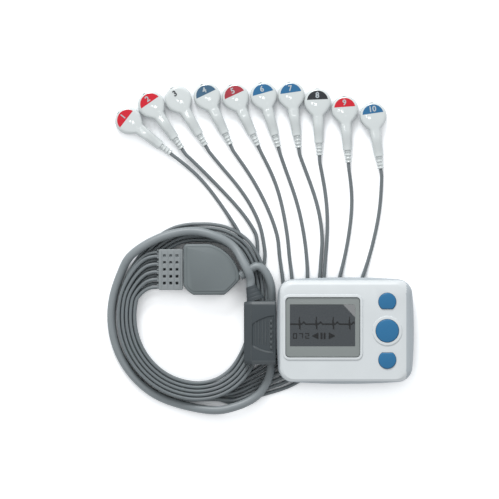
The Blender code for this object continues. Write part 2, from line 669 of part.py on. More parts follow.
def yoke_outline(inset):
    points = []
    signs = [(1, 1), (-1, 1), (-1, -1), (1, -1)]
    for quarter, (sign_x, sign_y) in enumerate(signs):
        radius = YOKE_CORNER_SHARES[quarter] * YOKE_WIDTH
        corner_x = YOKE_RIGHT - radius if sign_x > 0 else YOKE_X + radius
        corner_y = YOKE_TOP_SIDE - radius if sign_y > 0 else YOKE_Y + radius
        for step in range(CORNER_STEPS + 1):
            angle = math.pi / 2 * (quarter + step / CORNER_STEPS)
            points.append((corner_x + (radius - inset) * math.cos(angle),
                           corner_y + (radius - inset) * math.sin(angle)))
    return points


def yoke(grey, pale_grey, rubber):
    seam = FLOOR + YOKE_HEIGHT / 2
    for name, outer_end, side in (("yoke_bottom", FLOOR, 1), ("yoke_top", FLOOR + YOKE_HEIGHT, -1)):
        edge = seam - side * GAP / 2
        rings = [at_height(yoke_outline(YOKE_EDGE_RADIUS), outer_end),
                 at_height(yoke_outline(0.0), outer_end + side * YOKE_EDGE_RADIUS),
                 at_height(yoke_outline(0.0), edge),
                 at_height(yoke_outline(YOKE_WALL), edge),
                 at_height(yoke_outline(YOKE_WALL), outer_end + side * YOKE_WALL)]
        solid_from_rings(name, rings, grey)
    bottom = FLOOR + COMB_BOTTOM
    right = YOKE_X - GAP
    comb = block("yoke_comb", (right - COMB_LENGTH, COMB_Y - COMB_WIDTH / 2, bottom),
                 (right, COMB_Y + COMB_WIDTH / 2, bottom + COMB_THICKNESS), pale_grey)
    half = COMB_HOLE / 2
    holes = []
    for column in range(COMB_COLUMNS):
        for row in range(COMB_ROWS):
            x = right - COMB_LENGTH / 2 + COMB_HOLE_PITCH_X * (column - (COMB_COLUMNS - 1) / 2)
            y = COMB_Y + COMB_HOLE_PITCH_Y * (row - (COMB_ROWS - 1) / 2)
            holes.append(block("comb_hole", (x - half, y - half, bottom - CUT_OVERRUN),
                               (x + half, y + half, bottom + COMB_THICKNESS + CUT_OVERRUN)))
    boolean(comb, holes)
    start = Vector((YOKE_RIGHT + GAP, YOKE_BOOT_Y, FLOOR + YOKE_BOOT_HEIGHT))
    end = Vector(trunk_points()[0])
    heading = (Vector(trunk_points()[1]) - end).normalized()
    end -= heading * GAP
    radius = YOKE_BOOT_DIAMETER / 2
    side = Vector((heading.y, -heading.x, 0.0))
    rings = []
    for share, reach in ((0.0, 1.0), (1.0, TRUNK_DIAMETER / YOKE_BOOT_DIAMETER)):
        centre = start.lerp(end, share)
        across = Vector((0.0, -1.0, 0.0)).lerp(side, share)
        rings.append([centre + across * radius * reach * math.cos(a) + Vector((0, 0, radius * reach * math.sin(a)))
                      for a in [2 * math.pi * i / ROUND_SIDES for i in range(ROUND_SIDES)]])
    solid_from_rings("yoke_boot", rings, rubber)


def cubic_between(points, share):
    """Catmull-Rom value between the two middle points of four."""
    before, start, end, after = (Vector(p) for p in points)
    return (start * 2 + (end - before) * share + (before * 2 - start * 5 + end * 4 - after) * share ** 2
            + (start * 3 - before - end * 3 + after) * share ** 3) / 2


def ring_station(index):
    index %= STATIONS_PER_TURN
    angle = 2 * math.pi * index / STATIONS_PER_TURN
    radius = RING_RADIUS * RING_SHAPE_SHARES[index]
    return Vector((RING_X + radius * math.cos(angle), RING_Y + radius * math.sin(angle)))


def ring_point(station, offset, height):
    """A point of the coil, offset outwards from the inner lane, at a height above the floor."""
    index = math.floor(station)
    four = [ring_station(index + i) for i in (-1, 0, 1, 2)]
    here = cubic_between(four, station - index)
    ahead = cubic_between(four, station - index + TANGENT_STEP)
    along = (ahead - here).normalized()
    return (here.x + along.y * offset, here.y - along.x * offset, FLOOR + height)


def ramp(value, start, end):
    share = min(max((value - start) / (end - start), 0.0), 1.0)
    return share * share * (3 - 2 * share)


def level_height(level):
    return WIRE_DIAMETER / 2 + level * LEVEL_PITCH


def wire_on_ring(number, station):
    """Two wires share a lane, the odd one above; the first turn lies on the second."""
    lane = (number - 1) // 2
    upper = number % 2
    spread = ramp(station, *SPREAD_STATIONS)
    drop = ramp(station, *DROP_STATIONS)
    offset = LANE_PITCH * (lane + (number - 1 - lane) * spread)
    under = 2 - sum(ramp(station, *stations) for stations in FALL_STATIONS)
    return ring_point(station, offset, level_height(under + upper * (1 - drop)))


def wire_start(number):
    """From the comb's left face round on to the ring."""
    right = YOKE_X - 2 * GAP - COMB_LENGTH
    y = COMB_FIRST_WIRE_Y + COMB_WIRE_PITCH * (number - 1)
    height = FLOOR + level_height(2 + number % 2)
    joined = wire_on_ring(number, FIRST_STATION)
    bend_start = right - BEND_START_SHARE * WIRE_DIAMETER
    points = [(right, y, height)]
    for step in range(BEND_STEPS):
        angle = math.pi / 2 * step / BEND_STEPS
        points.append((joined[0] + (bend_start - joined[0]) * (1 - math.sin(angle)) ** BEND_POWERS[0],
                       joined[1] + (y - joined[1]) * math.cos(angle) ** BEND_POWERS[1], height))
    return points


# Free runs to the snap heads, from the end of each wire's coil: x, y and height above the floor in
# millimetres, under the recorder for wires 4 to 10
RUNS = {
    1: [(-54.2, 26, 1), (-55.4, 38, 1), (-58.3, 50, 1), (-61.6, 58, 1), (-69.4, 69.8, 1), (-75.6, 78.8, 1),
        (-81.9, 86.8, 1), (-88.6, 93.5, 1.2)],
    2: [(-51.4, 26, 1), (-50.3, 38, 1), (-49.9, 47, 1), (-50.8, 54.6, 1), (-53.1, 59.1, 1), (-58.2, 67, 1),
        (-64.9, 74.9, 1), (-73.9, 83.6, 1), (-83, 93.5, 1.2)],
    3: [(-48.9, 26, 1), (-46.6, 36, 1), (-45.6, 43, 1), (-46.3, 49.5, 1), (-49.1, 62.5, 1), (-53.1, 71.5, 1),
        (-58.7, 80, 1), (-66.1, 88.7, 1), (-73.9, 96.9, 1.2)],
    4: [(-72, -32.3, 1), (-63, -29.2, 1), (-50, -22.2, 1), (-38.4, -11.5, 1), (-35, -0.5, 1), (-34.2, 14, 1),
        (-35.6, 29.8, 1), (-37.3, 42.2, 1), (-38.5, 53.5, 1), (-41.3, 63.6, 1), (-45.8, 74.3, 1),
        (-52, 85.6, 1), (-59.3, 96.9, 1.2)],
    5: [(-72, -34.4, 3.2), (-63, -31.5, 2.4), (-50, -25, 1.1), (-36.4, -14.6, 1.1), (-31.8, -4, 1), (-30.2, 13, 1),
        (-30.3, 29.8, 1), (-31.7, 42.2, 1), (-32.8, 54, 1), (-34.5, 65.3, 1), (-36.8, 76, 1),
        (-39.6, 86.2, 1), (-44.6, 95.8, 1.2)],
    6: [(-72, -34.8, 1), (-63, -33.6, 1), (-50, -27.7, 1), (-34.6, -17.8, 1), (-28, -7, 1), (-23.5, 12, 1),
        (-21.4, 30.4, 1), (-22.3, 46.7, 1), (-24.3, 60.8, 1), (-27.1, 73.8, 1), (-32.1, 87.3, 1), (-36.2, 97.5, 1.2)],
    7: [(-72, -36.9, 3.2), (-63, -35.8, 2.9), (-50, -30.2, 1.1), (-32.9, -21, 1.1), (-24.5, -9.5, 1), (-17.8, 11, 1),
        (-14.4, 30.4, 1), (-13.6, 41.1, 1), (-12.8, 53.5, 1), (-13.6, 64.8, 1), (-16.9, 77.2, 1), (-22, 90.1, 1),
        (-24.9, 98.5, 1.2)],
    8: [(-72, -37.3, 1), (-63, -37.9, 1), (-50, -32.6, 1), (-31.2, -24.2, 1), (-21, -11.5, 1), (-14.8, 10, 1),
        (-12, 30.4, 1), (-10.8, 43.9, 1), (-9.6, 58, 1), (-9.9, 71.5, 1), (-11.9, 85, 1), (-13.7, 93, 1.2)],
    9: [(-72, -39.4, 3.2), (-63, -40, 2.9), (-50, -35.2, 1.1), (-29.5, -27.2, 1.1), (-16.5, -14, 1), (-8, 9, 1),
        (-2.9, 30.4, 1), (1.1, 46.7, 1), (3.4, 60.8, 1), (4.7, 74.9, 1), (4.2, 83.5, 1), (2.9, 89, 1.2)],
    10: [(-72, -39.8, 1), (-63, -42, 1), (-50, -37.9, 1), (-28, -30.2, 1), (-12.5, -17, 1), (0, 6, 1), (10.1, 30.4, 1),
         (15.2, 45.6, 1), (18.5, 59.7, 1), (20.8, 72.1, 1), (21.1, 80.5, 1), (20.9, 86, 1.2)],
}
# Snap heads: disc centre, then the end of the boot, in millimetres
HEADS = {
    1: ((-123.7, 119.8), (-99.6, 101.1)), 2: ((-110.6, 129.0), (-92.9, 103.5)),
    3: ((-95.2, 132.0), (-80.1, 106.4)), 4: ((-78.7, 133.7), (-65.6, 106.4)),
    5: ((-62.5, 133.3), (-49.8, 105.8)), 6: ((-46.4, 134.2), (-38.1, 104.9)),
    7: ((-30.7, 134.5), (-26.4, 104.9)), 8: ((-15.6, 130.5), (-14.4, 99.9)),
    9: ((0.0, 126.3), (2.2, 95.1)), 10: ((16.2, 122.6), (20.6, 91.9)),
}
# Trunk cable from the yoke to the ring's lower side, and from its left side to the plug
TRUNK_OUT = [(-53.4, 35.2, 9.3), (-50.4, 36.7, 9.3), (-47.3, 35.6, 9.3), (-44.2, 31.7, 9.0), (-41.9, 26, 7.8),
             (-41.5, 20.5, 6.2), (-41.5, 15, 4.6), (-41.5, 0, 4.4), (-41.5, -15, 4.4), (-42.8, -26, 4.4),
             (-48.3, -35.8, 4.5), (-56, -41.2, 4.9), (-65, -44.2, 5.6), (-76, -45.2, 5)]
TRUNK_FIRST_STATION = 17
TRUNK_LAST_STATION = 11
TRUNK_BACK = [(-127.3, 33.2, 3.0), (-124, 40, 4.8), (-119, 45, 6.5), (-107.8, 51.6, 7.1), (-95.5, 55.5, 7.3),
              (-84.4, 56.1, 8.1), (-73.8, 53.4, 9.2), (-63.2, 47.6, 9.8), (-58, 39.5, 13.2), (-55, 33.4, 15),
              (-53.8, 29.9, 12.9), (-53.8, 25.7, 12.5)]


def placed(points):
    return [Vector((x * MM, y * MM, FLOOR + z * MM)) for x, y, z in points]


def smooth_route(points, spacing):
    """Points at an even spacing along a smooth curve through the given ones, with straight ends."""
    chain = [Vector(p) for p in points]
    dense = []
    for i in range(len(chain) - 3):
        dense += [centripetal(chain[i:i + 4], step / SPAN_STEPS) for step in range(SPAN_STEPS)]
    dense.append(chain[-2])
    lengths = [0.0]
    for a, b in zip(dense, dense[1:]):
        lengths.append(lengths[-1] + (b - a).length)
    count = max(round(lengths[-1] / spacing), 1)
    wanted = np.linspace(0.0, lengths[-1], count + 1)
    columns = [np.interp(wanted, lengths, [p[axis] for p in dense]) for axis in range(3)]
    return [chain[0], *(Vector(p) for p in zip(*columns)), chain[-1]]


def centripetal(four, share):
    """Catmull-Rom with knots by the root of each distance, which doesn't overshoot."""
    knots = [0.0]
    for a, b in zip(four, four[1:]):
        knots.append(knots[-1] + max((b - a).length, LEAST_SPAN) ** CENTRIPETAL_POWER)
    t0, t1, t2, t3 = knots
    t = t1 + (t2 - t1) * share
    a1 = four[0] * ((t1 - t) / (t1 - t0)) + four[1] * ((t - t0) / (t1 - t0))
    a2 = four[1] * ((t2 - t) / (t2 - t1)) + four[2] * ((t - t1) / (t2 - t1))
    a3 = four[2] * ((t3 - t) / (t3 - t2)) + four[3] * ((t - t2) / (t3 - t2))
    b1 = a1 * ((t2 - t) / (t2 - t0)) + a2 * ((t - t0) / (t2 - t0))
    b2 = a2 * ((t3 - t) / (t3 - t1)) + a3 * ((t - t1) / (t3 - t1))
    return b1 * ((t2 - t) / (t2 - t1)) + b2 * ((t - t1) / (t2 - t1))


def wire_coil(number):
    turns = INNER_TURNS if number <= INNER_WIRES else OUTER_TURNS
    last = FIRST_STATION + round(turns * STATIONS_PER_TURN)
    points = [Vector(p) for p in wire_start(number)]
    points += [Vector(wire_on_ring(number, station)) for station in range(FIRST_STATION, last + 1)]
    ahead = (points[-1] - points[-2]).normalized()
    points.append(points[-1] + ahead * WIRE_DIAMETER)
    return points


def head_frame(number):
    centre, end = (Vector((x * MM, y * MM)) for x, y in HEADS[number])
    axis = (centre - end).normalized()
    return centre - axis * DISC_TO_BOOT, axis


def wire_run(number):
    coil = wire_coil(number)
    ahead = (coil[-1] - coil[-2]).normalized()
    start = coil[-1] + ahead * GAP
    end, axis = head_frame(number)
    height = FLOOR + BOOT_DIAMETER / 2 + GAP
    finish = Vector((end.x, end.y, height)) - Vector((axis.x, axis.y, 0.0)) * GAP
    before = finish - Vector((axis.x, axis.y, 0.0)) * 2 * WIRE_DIAMETER
    route = [start, start + ahead * WIRE_DIAMETER, *placed(RUNS[number]), before, finish]
    return smooth_route(route, RUN_SPACING)


def trunk_points():
    ring = [Vector(ring_point(station, TRUNK_OFFSET, TRUNK_DIAMETER / 2 + GAP / 2))
            for station in range(TRUNK_FIRST_STATION, TRUNK_LAST_STATION - 1, -1)]
    return smooth_route([*placed(TRUNK_OUT), *ring, *placed(TRUNK_BACK)], TRUNK_SPACING)


def least_gap(points, diameter):
    """Between stretches of one tube that lie more than four diameters apart along it."""
    best = math.inf
    apart = NEIGHBOUR_DIAMETERS * diameter
    lengths = [0.0]
    for a, b in zip(points, points[1:]):
        lengths.append(lengths[-1] + (b - a).length)
    for i, a in enumerate(points):
        for j in range(len(points) - 1):
            if abs(lengths[j] - lengths[i]) < apart or abs(lengths[j + 1] - lengths[i]) < apart:
                continue
            run = points[j + 1] - points[j]
            share = min(max((a - points[j]).dot(run) / run.length_squared, 0.0), 1.0)
            best = min(best, (a - points[j] - run * share).length)
    return best - diameter


def cables(wire_rubber, trunk_rubber):
    for number in range(1, LEAD_COUNT + 1):
        coil = wire_coil(number)
        tube("lead_wire_%d_coil" % number, coil, WIRE_DIAMETER, 1, wire_rubber)
        tube("lead_wire_%d_run" % number, wire_run(number), WIRE_DIAMETER, 2, wire_rubber)
        print("least gap of coil %d to itself, mm: %.2f" % (number, least_gap(coil, WIRE_DIAMETER) / MM))
    trunk = trunk_points()
    tube("trunk_cable", trunk, TRUNK_DIAMETER, 2, trunk_rubber)
    print("least gap of the trunk cable to itself, mm: %.2f" % (least_gap(trunk, TRUNK_DIAMETER) / MM))


def head_sections():
    """Distance from the boot's end, width and height of the snap head."""
    neck_start = BOOT_LENGTH + GAP
    sections = [(0.0, BOOT_DIAMETER, BOOT_DIAMETER), (BOOT_LENGTH, BOOT_DIAMETER, BOOT_DIAMETER),
                (neck_start, NECK_END_WIDTH, BOOT_DIAMETER + 2 * GAP)]
    neck_angle = math.asin(NECK_WIDTH / 2 / DISC_RADIUS)
    neck_end = DISC_TO_BOOT - DISC_RADIUS * math.cos(neck_angle)
    sections.append(((neck_start + neck_end) / 2, (NECK_WIDTH + NECK_END_WIDTH) / 2, HEAD_HEIGHT - 2 * GAP))
    for step in range(HEAD_STEPS):
        angle = neck_angle + (math.pi - neck_angle) * step / HEAD_STEPS
        sections.append((DISC_TO_BOOT - DISC_RADIUS * math.cos(angle), 2 * DISC_RADIUS * math.sin(angle), HEAD_HEIGHT))
    tip = math.pi / HEAD_STEPS / 4
    sections.append((DISC_TO_BOOT + DISC_RADIUS * math.cos(tip), 2 * DISC_RADIUS * math.sin(tip), HEAD_HEIGHT / 2))
    return sections


def snap_heads(pale_plastic):
    for number in range(1, LEAD_COUNT + 1):
        end, axis = head_frame(number)
        rings = []
        for distance, width, height in head_sections():
            radius = min(width, height) / 2 * HEAD_ROUNDING_SHARE
            outline = rounded_outline(width, height, radius, steps=2)
            centre = end + axis * distance
            rings.append([(centre.x - axis.y * u, centre.y + axis.x * u, FLOOR + GAP / 2 + height / 2 + v)
                          for u, v in outline])
        solid_from_rings("lead_head_%d" % number, rings, pale_plastic)


def build():
    clear_scene()
    case_grey = material("case_grey", (0.64, 0.67, 0.69), 0.42)
    key_blue = material("key_blue", (0.03, 0.17, 0.37), 0.45)
    glass = material("window_glass", (0.26, 0.29, 0.29), 0.12)
    dark_glass = material("panel_glass", (0.07, 0.08, 0.09), 0.2)
    rubber = material("seal_rubber", (0.05, 0.05, 0.05), 0.8)
    laminate = material("board_laminate", (0.03, 0.2, 0.08), 0.5)
    steel = material("steel", (0.6, 0.6, 0.6), 0.3, 1.0)
    jacket = material("cell_jacket", (0.1, 0.1, 0.11), 0.35, 0.4)
    dark_plastic = material("plug_grey", (0.07, 0.085, 0.095), 0.55)
    yoke_grey = material("yoke_grey", (0.16, 0.19, 0.2), 0.5)
    pale_grey = material("comb_grey", (0.28, 0.31, 0.31), 0.5)
    wire_rubber = material("wire_jacket", (0.15, 0.18, 0.19), 0.55)
    trunk_rubber = material("trunk_jacket", (0.27, 0.3, 0.31), 0.5)
    head_white = material("head_white", (0.66, 0.7, 0.7), 0.4)
    front_shell(case_grey)
    rear_shell(case_grey)
    battery_door(case_grey)
    case_gasket(rubber)
    display(glass, dark_glass, steel)
    circuit_board(laminate)
    keys(key_blue, rubber)
    battery(jacket, steel)
    memory_card(dark_plastic, steel)
    lead_socket(dark_plastic)
    case_screws(steel)
    plug(dark_plastic, pale_grey, trunk_rubber)
    yoke(yoke_grey, pale_grey, trunk_rubber)
    cables(wire_rubber, trunk_rubber)
    snap_heads(head_white)


build()
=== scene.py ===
# Holter recorder and its ten-lead cable, dressed over the frame: camera, light, cords, pieces, materials
import math
import bmesh
import bpy
import numpy as np
from mathutils import Matrix, Quaternion, Vector


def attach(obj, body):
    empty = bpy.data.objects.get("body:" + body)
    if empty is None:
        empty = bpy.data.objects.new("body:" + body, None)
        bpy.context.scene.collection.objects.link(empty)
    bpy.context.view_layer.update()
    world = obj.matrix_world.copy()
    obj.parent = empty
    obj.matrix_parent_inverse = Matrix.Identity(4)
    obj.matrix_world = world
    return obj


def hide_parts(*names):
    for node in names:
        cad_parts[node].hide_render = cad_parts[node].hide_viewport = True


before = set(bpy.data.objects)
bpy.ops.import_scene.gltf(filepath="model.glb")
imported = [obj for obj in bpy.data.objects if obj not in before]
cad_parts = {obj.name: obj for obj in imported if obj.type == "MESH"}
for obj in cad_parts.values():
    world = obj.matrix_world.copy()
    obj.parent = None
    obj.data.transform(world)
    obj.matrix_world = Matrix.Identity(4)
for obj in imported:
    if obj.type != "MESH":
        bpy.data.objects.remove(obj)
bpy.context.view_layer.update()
mm = 0.001
quarter = math.pi / 2
up = Vector((0.0, 0.0, 1.0))

# levels of the frame, and the clearance that pieces keep
caseBottom = -10.55 * mm
caseTop = 9.45 * mm
floorLevel = -13.05 * mm
gap = 0.3 * mm
bed = floorLevel + gap / 2


def sized(value):
    # millimetres as metres, in any nest of tables
    if isinstance(value, dict):
        return {name: sized(item) for name, item in value.items()}
    if isinstance(value, tuple):
        return tuple(sized(item) for item in value)
    return value * mm


def added(name, data):
    item = bpy.data.objects.new(name, data)
    bpy.context.scene.collection.objects.link(item)
    return item


def setInputs(node, **values):
    # underscores stand for the spaces in a socket's name
    for name, value in values.items():
        node.inputs[name.replace("_", " ")].default_value = value
    return node


def addNode(tree, kind, **values):
    return setInputs(tree.nodes.new(kind), **values)


def link(tree, *wires):
    # each is node, output, node, input
    for source, output, target, entry in wires:
        tree.links.new(source.outputs[output], target.inputs[entry])


print("stage: camera and light")
view = {"centre": (-54.5 * mm, 46.2 * mm), "width": 284.4 * mm, "distance": 3.0, "sensor": 36.0}
cameraData = bpy.data.cameras.new("camera")
cameraData.sensor_width = view["sensor"]
cameraData.lens = view["sensor"] * view["distance"] / view["width"]
cameraData.clip_start = 0.1
cameraData.clip_end = 20.0
camera = added("camera", cameraData)
camera.location = (*view["centre"], view["distance"])
bpy.context.scene.camera = camera

sky = 0.7  # even light from all round
lamps = {
    "key light": {"shape": "DISK", "power": 30.0, "size": 0.9, "place": (-0.35, 1.65, 1.1), "aim": (-0.05, 0.05, 0.0)},
    # its edge crosses the upper right of the screen
    "window glare": {"shape": "SQUARE", "power": 0.012, "size": 0.03, "place": (0.0776, -0.0184, 3.4), "turn": 43.0},
    "crown glints": {"shape": "DISK", "power": 0.26, "size": 0.1, "place": (-0.038, 0.145, 3.4)},
    "neck glints": {"shape": "DISK", "power": 0.12, "size": 0.065, "place": (-0.15, 0.19, 3.4)},
}
world = bpy.data.worlds.new("studio")
world.use_nodes = True
bpy.context.scene.world = world
bpy.context.scene.view_settings.view_transform = "Standard"


def lightWorld():
    # the camera sees plain white, all else the sky
    tree = world.node_tree
    back = setInputs(tree.nodes["Background"], Color=(0.97, 0.985, 1.0, 1.0), Strength=sky)
    plain = addNode(tree, "ShaderNodeBackground", Color=(1.0, 1.0, 1.0, 1.0))
    rays = addNode(tree, "ShaderNodeLightPath")
    mix = addNode(tree, "ShaderNodeMixShader")
    link(tree, (rays, "Is Camera Ray", mix, 0), (back, 0, mix, 1), (plain, 0, mix, 2),
         (mix, 0, tree.nodes["World Output"], "Surface"))


def softLight(name, shape, power, size, place, aim=None, turn=0.0):
    # it points straight down unless it has an aim
    data = bpy.data.lights.new(name, "AREA")
    data.shape = shape
    data.size = size
    data.energy = power
    lamp = added(name, data)
    lamp.location = place
    lamp.rotation_mode = "QUATERNION"
    course = Vector(aim or (*place[:2], 0.0)) - Vector(place)
    lamp.rotation_quaternion = course.to_track_quat("-Z", "Y") @ Quaternion((0, 0, 1), math.radians(turn))
    lamp.visible_camera = False


lightWorld()
for name, setting in lamps.items():
    softLight(name, **setting)

print("stage: materials")
texture = {"strength": 0.6, "scuff": 0.08, "ior": 1.46}


def linear(value):
    # a screen value from 0 to 255 as linear light
    return value / 255 / 12.92 if value <= 10 else ((value / 255 + 0.055) / 1.055) ** 2.4


def finishOf(name, screen, roughness, grain=0.00035, depth=0.00002, mottle=0.04, patch=0.012, metallic=0.0,
             coat=0.0, coatGloss=0.08, sheen=0.0, colour=None):
    # colour patches, grain in the gloss and a fine moulded texture, all on object coordinates
    colour = colour or tuple(linear(value) for value in screen)
    material = bpy.data.materials.new(name)
    material.use_nodes = True
    tree = material.node_tree
    shader = setInputs(tree.nodes["Principled BSDF"], Metallic=metallic, Coat_Weight=coat, Coat_Roughness=coatGloss,
                       Sheen_Weight=sheen, IOR=texture["ior"])
    place = addNode(tree, "ShaderNodeTexCoord")
    broad = addNode(tree, "ShaderNodeTexNoise", Scale=1 / patch, Detail=3.0)
    fine = addNode(tree, "ShaderNodeTexNoise", Scale=1 / grain, Detail=2.0)
    shade = addNode(tree, "ShaderNodeMix")
    shade.data_type = "RGBA"
    for socket, share in ((6, 1 - mottle), (7, 1 + mottle)):
        shade.inputs[socket].default_value = (*[min(c * share, 1.0) for c in colour], 1.0)
    gloss = addNode(tree, "ShaderNodeMapRange", To_Min=max(roughness - texture["scuff"], 0.02),
                    To_Max=min(roughness + texture["scuff"], 1.0))
    bump = addNode(tree, "ShaderNodeBump", Strength=texture["strength"], Distance=depth)
    link(tree, (place, "Object", broad, "Vector"), (place, "Object", fine, "Vector"), (broad, "Fac", shade, 0),
         (shade, 2, shader, "Base Color"), (fine, "Fac", gloss, "Value"), (gloss, "Result", shader, "Roughness"),
         (fine, "Fac", bump, "Height"), (bump, "Normal", shader, "Normal"))
    material.diffuse_color = (*colour, 1.0)
    return material


finishes = {
    "case": finishOf("case plastic", (206, 211, 213), 0.4, depth=0.000012),
    # painted shade: a darker copy of the case plastic, for walls and bevels that get less light
    "side": finishOf("case plastic painted shade", (169, 177, 182), 0.45, depth=0.000012),
    "key": finishOf("key plastic", (34, 105, 150), 0.42, depth=0.00001, mottle=0.06),
    "bezel": finishOf("window print", (130, 136, 135), 0.45, mottle=0.02, coat=0.15, coatGloss=0.1),
    "screen": finishOf("liquid crystal", (43, 50, 55), 0.25, grain=0.0002, depth=0.000002, mottle=0.03, coat=1.0,
                       coatGloss=0.0),
    "trace": finishOf("display segments", (10, 13, 16), 0.5, mottle=0.03),
    "seal": finishOf("seal rubber", (62, 66, 68), 0.75, sheen=0.1),
    "plug": finishOf("plug plastic", (60, 67, 71), 0.5, depth=0.00003, mottle=0.08),
    "plugEdge": finishOf("plug trim", (76, 82, 85), 0.45, depth=0.00002),
    "yoke": finishOf("yoke plastic", (107, 115, 117), 0.45, depth=0.00002, mottle=0.06),
    "comb": finishOf("comb plastic", (134, 140, 142), 0.5, depth=0.00003, mottle=0.07),
    "wire": finishOf("wire jacket", (108, 115, 118), 0.42, grain=0.0005, depth=0.00003, mottle=0.1, patch=0.02),
    "trunk": finishOf("trunk jacket", (130, 137, 140), 0.42, grain=0.0006, depth=0.00004, mottle=0.08),
    "head": finishOf("snap plastic", (203, 209, 209), 0.38, depth=0.000004, mottle=0.03, coat=1.0, coatGloss=0.03),
    "steel": finishOf("steel", (178, 182, 184), 0.3, metallic=1.0, depth=0.000006),
    "laminate": finishOf("board laminate", (28, 104, 62), 0.35, coat=0.3, mottle=0.1),
    "jacket": finishOf("cell jacket", (52, 56, 62), 0.3, coat=0.3, mottle=0.06),
    "red": finishOf("label red", (198, 22, 42), 0.35, mottle=0.05, patch=0.004),
    "maroon": finishOf("label dull red", (160, 52, 64), 0.35, mottle=0.3, patch=0.003),
    "slate": finishOf("label slate", (62, 96, 122), 0.35, mottle=0.08, patch=0.004),
    "blue": finishOf("label blue", (38, 102, 146), 0.35, mottle=0.06, patch=0.004),
    "black": finishOf("label black", (38, 42, 46), 0.35, mottle=0.1, patch=0.004),
    "paleInk": finishOf("pale ink", (176, 185, 189), 0.4, mottle=0.03),
    "darkInk": finishOf("dark ink", (58, 62, 66), 0.4, mottle=0.03),
}
floorWhite = finishOf("studio floor", None, 0.9, grain=0.004, depth=0.0, mottle=0.004, patch=0.3,
                      colour=(0.89, 0.91, 0.93))


def brightFloor():
    # open floor glows a little for the camera, so only the shadows close to the object stay
    tree = floorWhite.node_tree
    shader = setInputs(tree.nodes["Principled BSDF"], Emission_Color=(1.0, 1.0, 1.0, 1.0))
    rays = addNode(tree, "ShaderNodeLightPath")
    glow = addNode(tree, "ShaderNodeMath")
    glow.operation = "MULTIPLY"
    near = addNode(tree, "ShaderNodeAmbientOcclusion", Distance=14 * mm)
    near.samples = 8
    bright = addNode(tree, "ShaderNodeMapRange", From_Min=0.25, From_Max=0.8, To_Max=0.48)
    link(tree, (near, "AO", bright, "Value"), (rays, "Is Camera Ray", glow, 0), (bright, "Result", glow, 1),
         (glow, 0, shader, "Emission Strength"))


brightFloor()

print("stage: shape helpers")


def meshOf(shape, name="loose"):
    # the shape is used up
    mesh = bpy.data.meshes.new(name)
    shape.to_mesh(mesh)
    shape.free()
    return mesh


def drop(item):
    data = item.data
    bpy.data.objects.remove(item)
    (bpy.data.meshes if isinstance(data, bpy.types.Mesh) else bpy.data.curves).remove(data)


def evaluated(item):
    # the shape that an object's modifiers or lettering make; the object goes
    bpy.context.view_layer.update()
    mesh = bpy.data.meshes.new_from_object(item.evaluated_get(bpy.context.evaluated_depsgraph_get()))
    shape = bmesh.new()
    shape.from_mesh(mesh)
    drop(item)
    bpy.data.meshes.remove(mesh)
    return shape


def merged(shape):
    bmesh.ops.remove_doubles(shape, verts=shape.verts, dist=1e-7)
    return shape


def outward(shape):
    bmesh.ops.recalc_face_normals(shape, faces=shape.faces)
    if shape.calc_volume(signed=True) < 0:
        bmesh.ops.reverse_faces(shape, faces=shape.faces)
    return shape


def keep(name, shape, finish, body="lead_set", instead=(), sharp=35):
    # a finished piece from a bmesh, riding on a body
    mesh = meshOf(outward(shape), name)
    mesh.materials.append(finishes[finish])
    mesh.shade_smooth()
    mesh.set_sharp_from_angle(angle=math.radians(sharp))
    piece = added(name, mesh)
    if body:
        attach(piece, body)
    if instead:
        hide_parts(*instead)
    return piece


def repaint(piece, finish, chosen):
    # a second finish on the faces that a test picks
    piece.data.materials.append(finishes[finish])
    for face in piece.data.polygons:
        if chosen(face.center, face.normal):
            face.material_index = 1


def loft(rings):
    # closed rings of equally many points, capped at both ends
    shape = bmesh.new()
    loops = [[shape.verts.new(p) for p in ring] for ring in rings]
    count = len(rings[0])
    for low, high in zip(loops, loops[1:]):
        for i in range(count):
            shape.faces.new((low[i], low[(i + 1) % count], high[(i + 1) % count], high[i]))
    shape.faces.new(list(reversed(loops[0])))
    shape.faces.new(loops[-1])
    return shape


def tubeRings(path, radiusAt, sides):
    # rings carried along a path without twist
    rings = []
    normal = up
    for i, point in enumerate(path):
        ahead = (path[min(i + 1, len(path) - 1)] - path[max(i - 1, 0)]).normalized()
        normal = (normal - ahead * normal.dot(ahead)).normalized()
        across = ahead.cross(normal)
        radius = radiusAt(i)
        rings.append([point + (normal * math.cos(a) + across * math.sin(a)) * radius
                      for a in [2 * math.pi * k / sides for k in range(sides)]])
    return rings


def rod(path, radius, tip, sides=10):
    # a tube with narrower ends
    return loft(tubeRings(path, lambda i: radius * (tip if i in (0, len(path) - 1) else 1), sides))


def straight(start, end, count):
    return [Vector([a + (b - a) * t for a, b in zip(start, end)]) for t in np.linspace(0, 1, count)]


def roundedRect(length, width, radius, centre=(0.0, 0.0), steps=8):
    points = []
    for turn, (sx, sy) in enumerate([(1, 1), (-1, 1), (-1, -1), (1, -1)]):
        for step in range(steps + 1):
            angle = quarter * (turn + step / steps)
            points.append((centre[0] + sx * (length / 2 - radius) + radius * math.cos(angle),
                           centre[1] + sy * (width / 2 - radius) + radius * math.sin(angle)))
    return points


def circle(radius, centre=(0.0, 0.0), sides=48):
    return [(centre[0] + radius * math.cos(2 * math.pi * i / sides),
             centre[1] + radius * math.sin(2 * math.pi * i / sides)) for i in range(sides)]


def level(outline, height):
    return [(x, y, height) for x, y in outline]


def stack(outlineAt, pairs):
    # a ring for each pair of inset and height
    return [level(outlineAt(inset), height) for inset, height in pairs]


def edgeRings(outlineAt, face, radius, steps, sign=1):
    # a quarter round, from a flat face at a level to the wall above it, or below it where the sign is -1
    angles = [quarter * step / steps for step in range(steps + 1)]
    return stack(outlineAt, [(radius * (1 - math.sin(a)), face + sign * radius * (1 - math.cos(a))) for a in angles])


def prism(outline, low, high):
    return loft([level(outline, low), level(outline, high)])


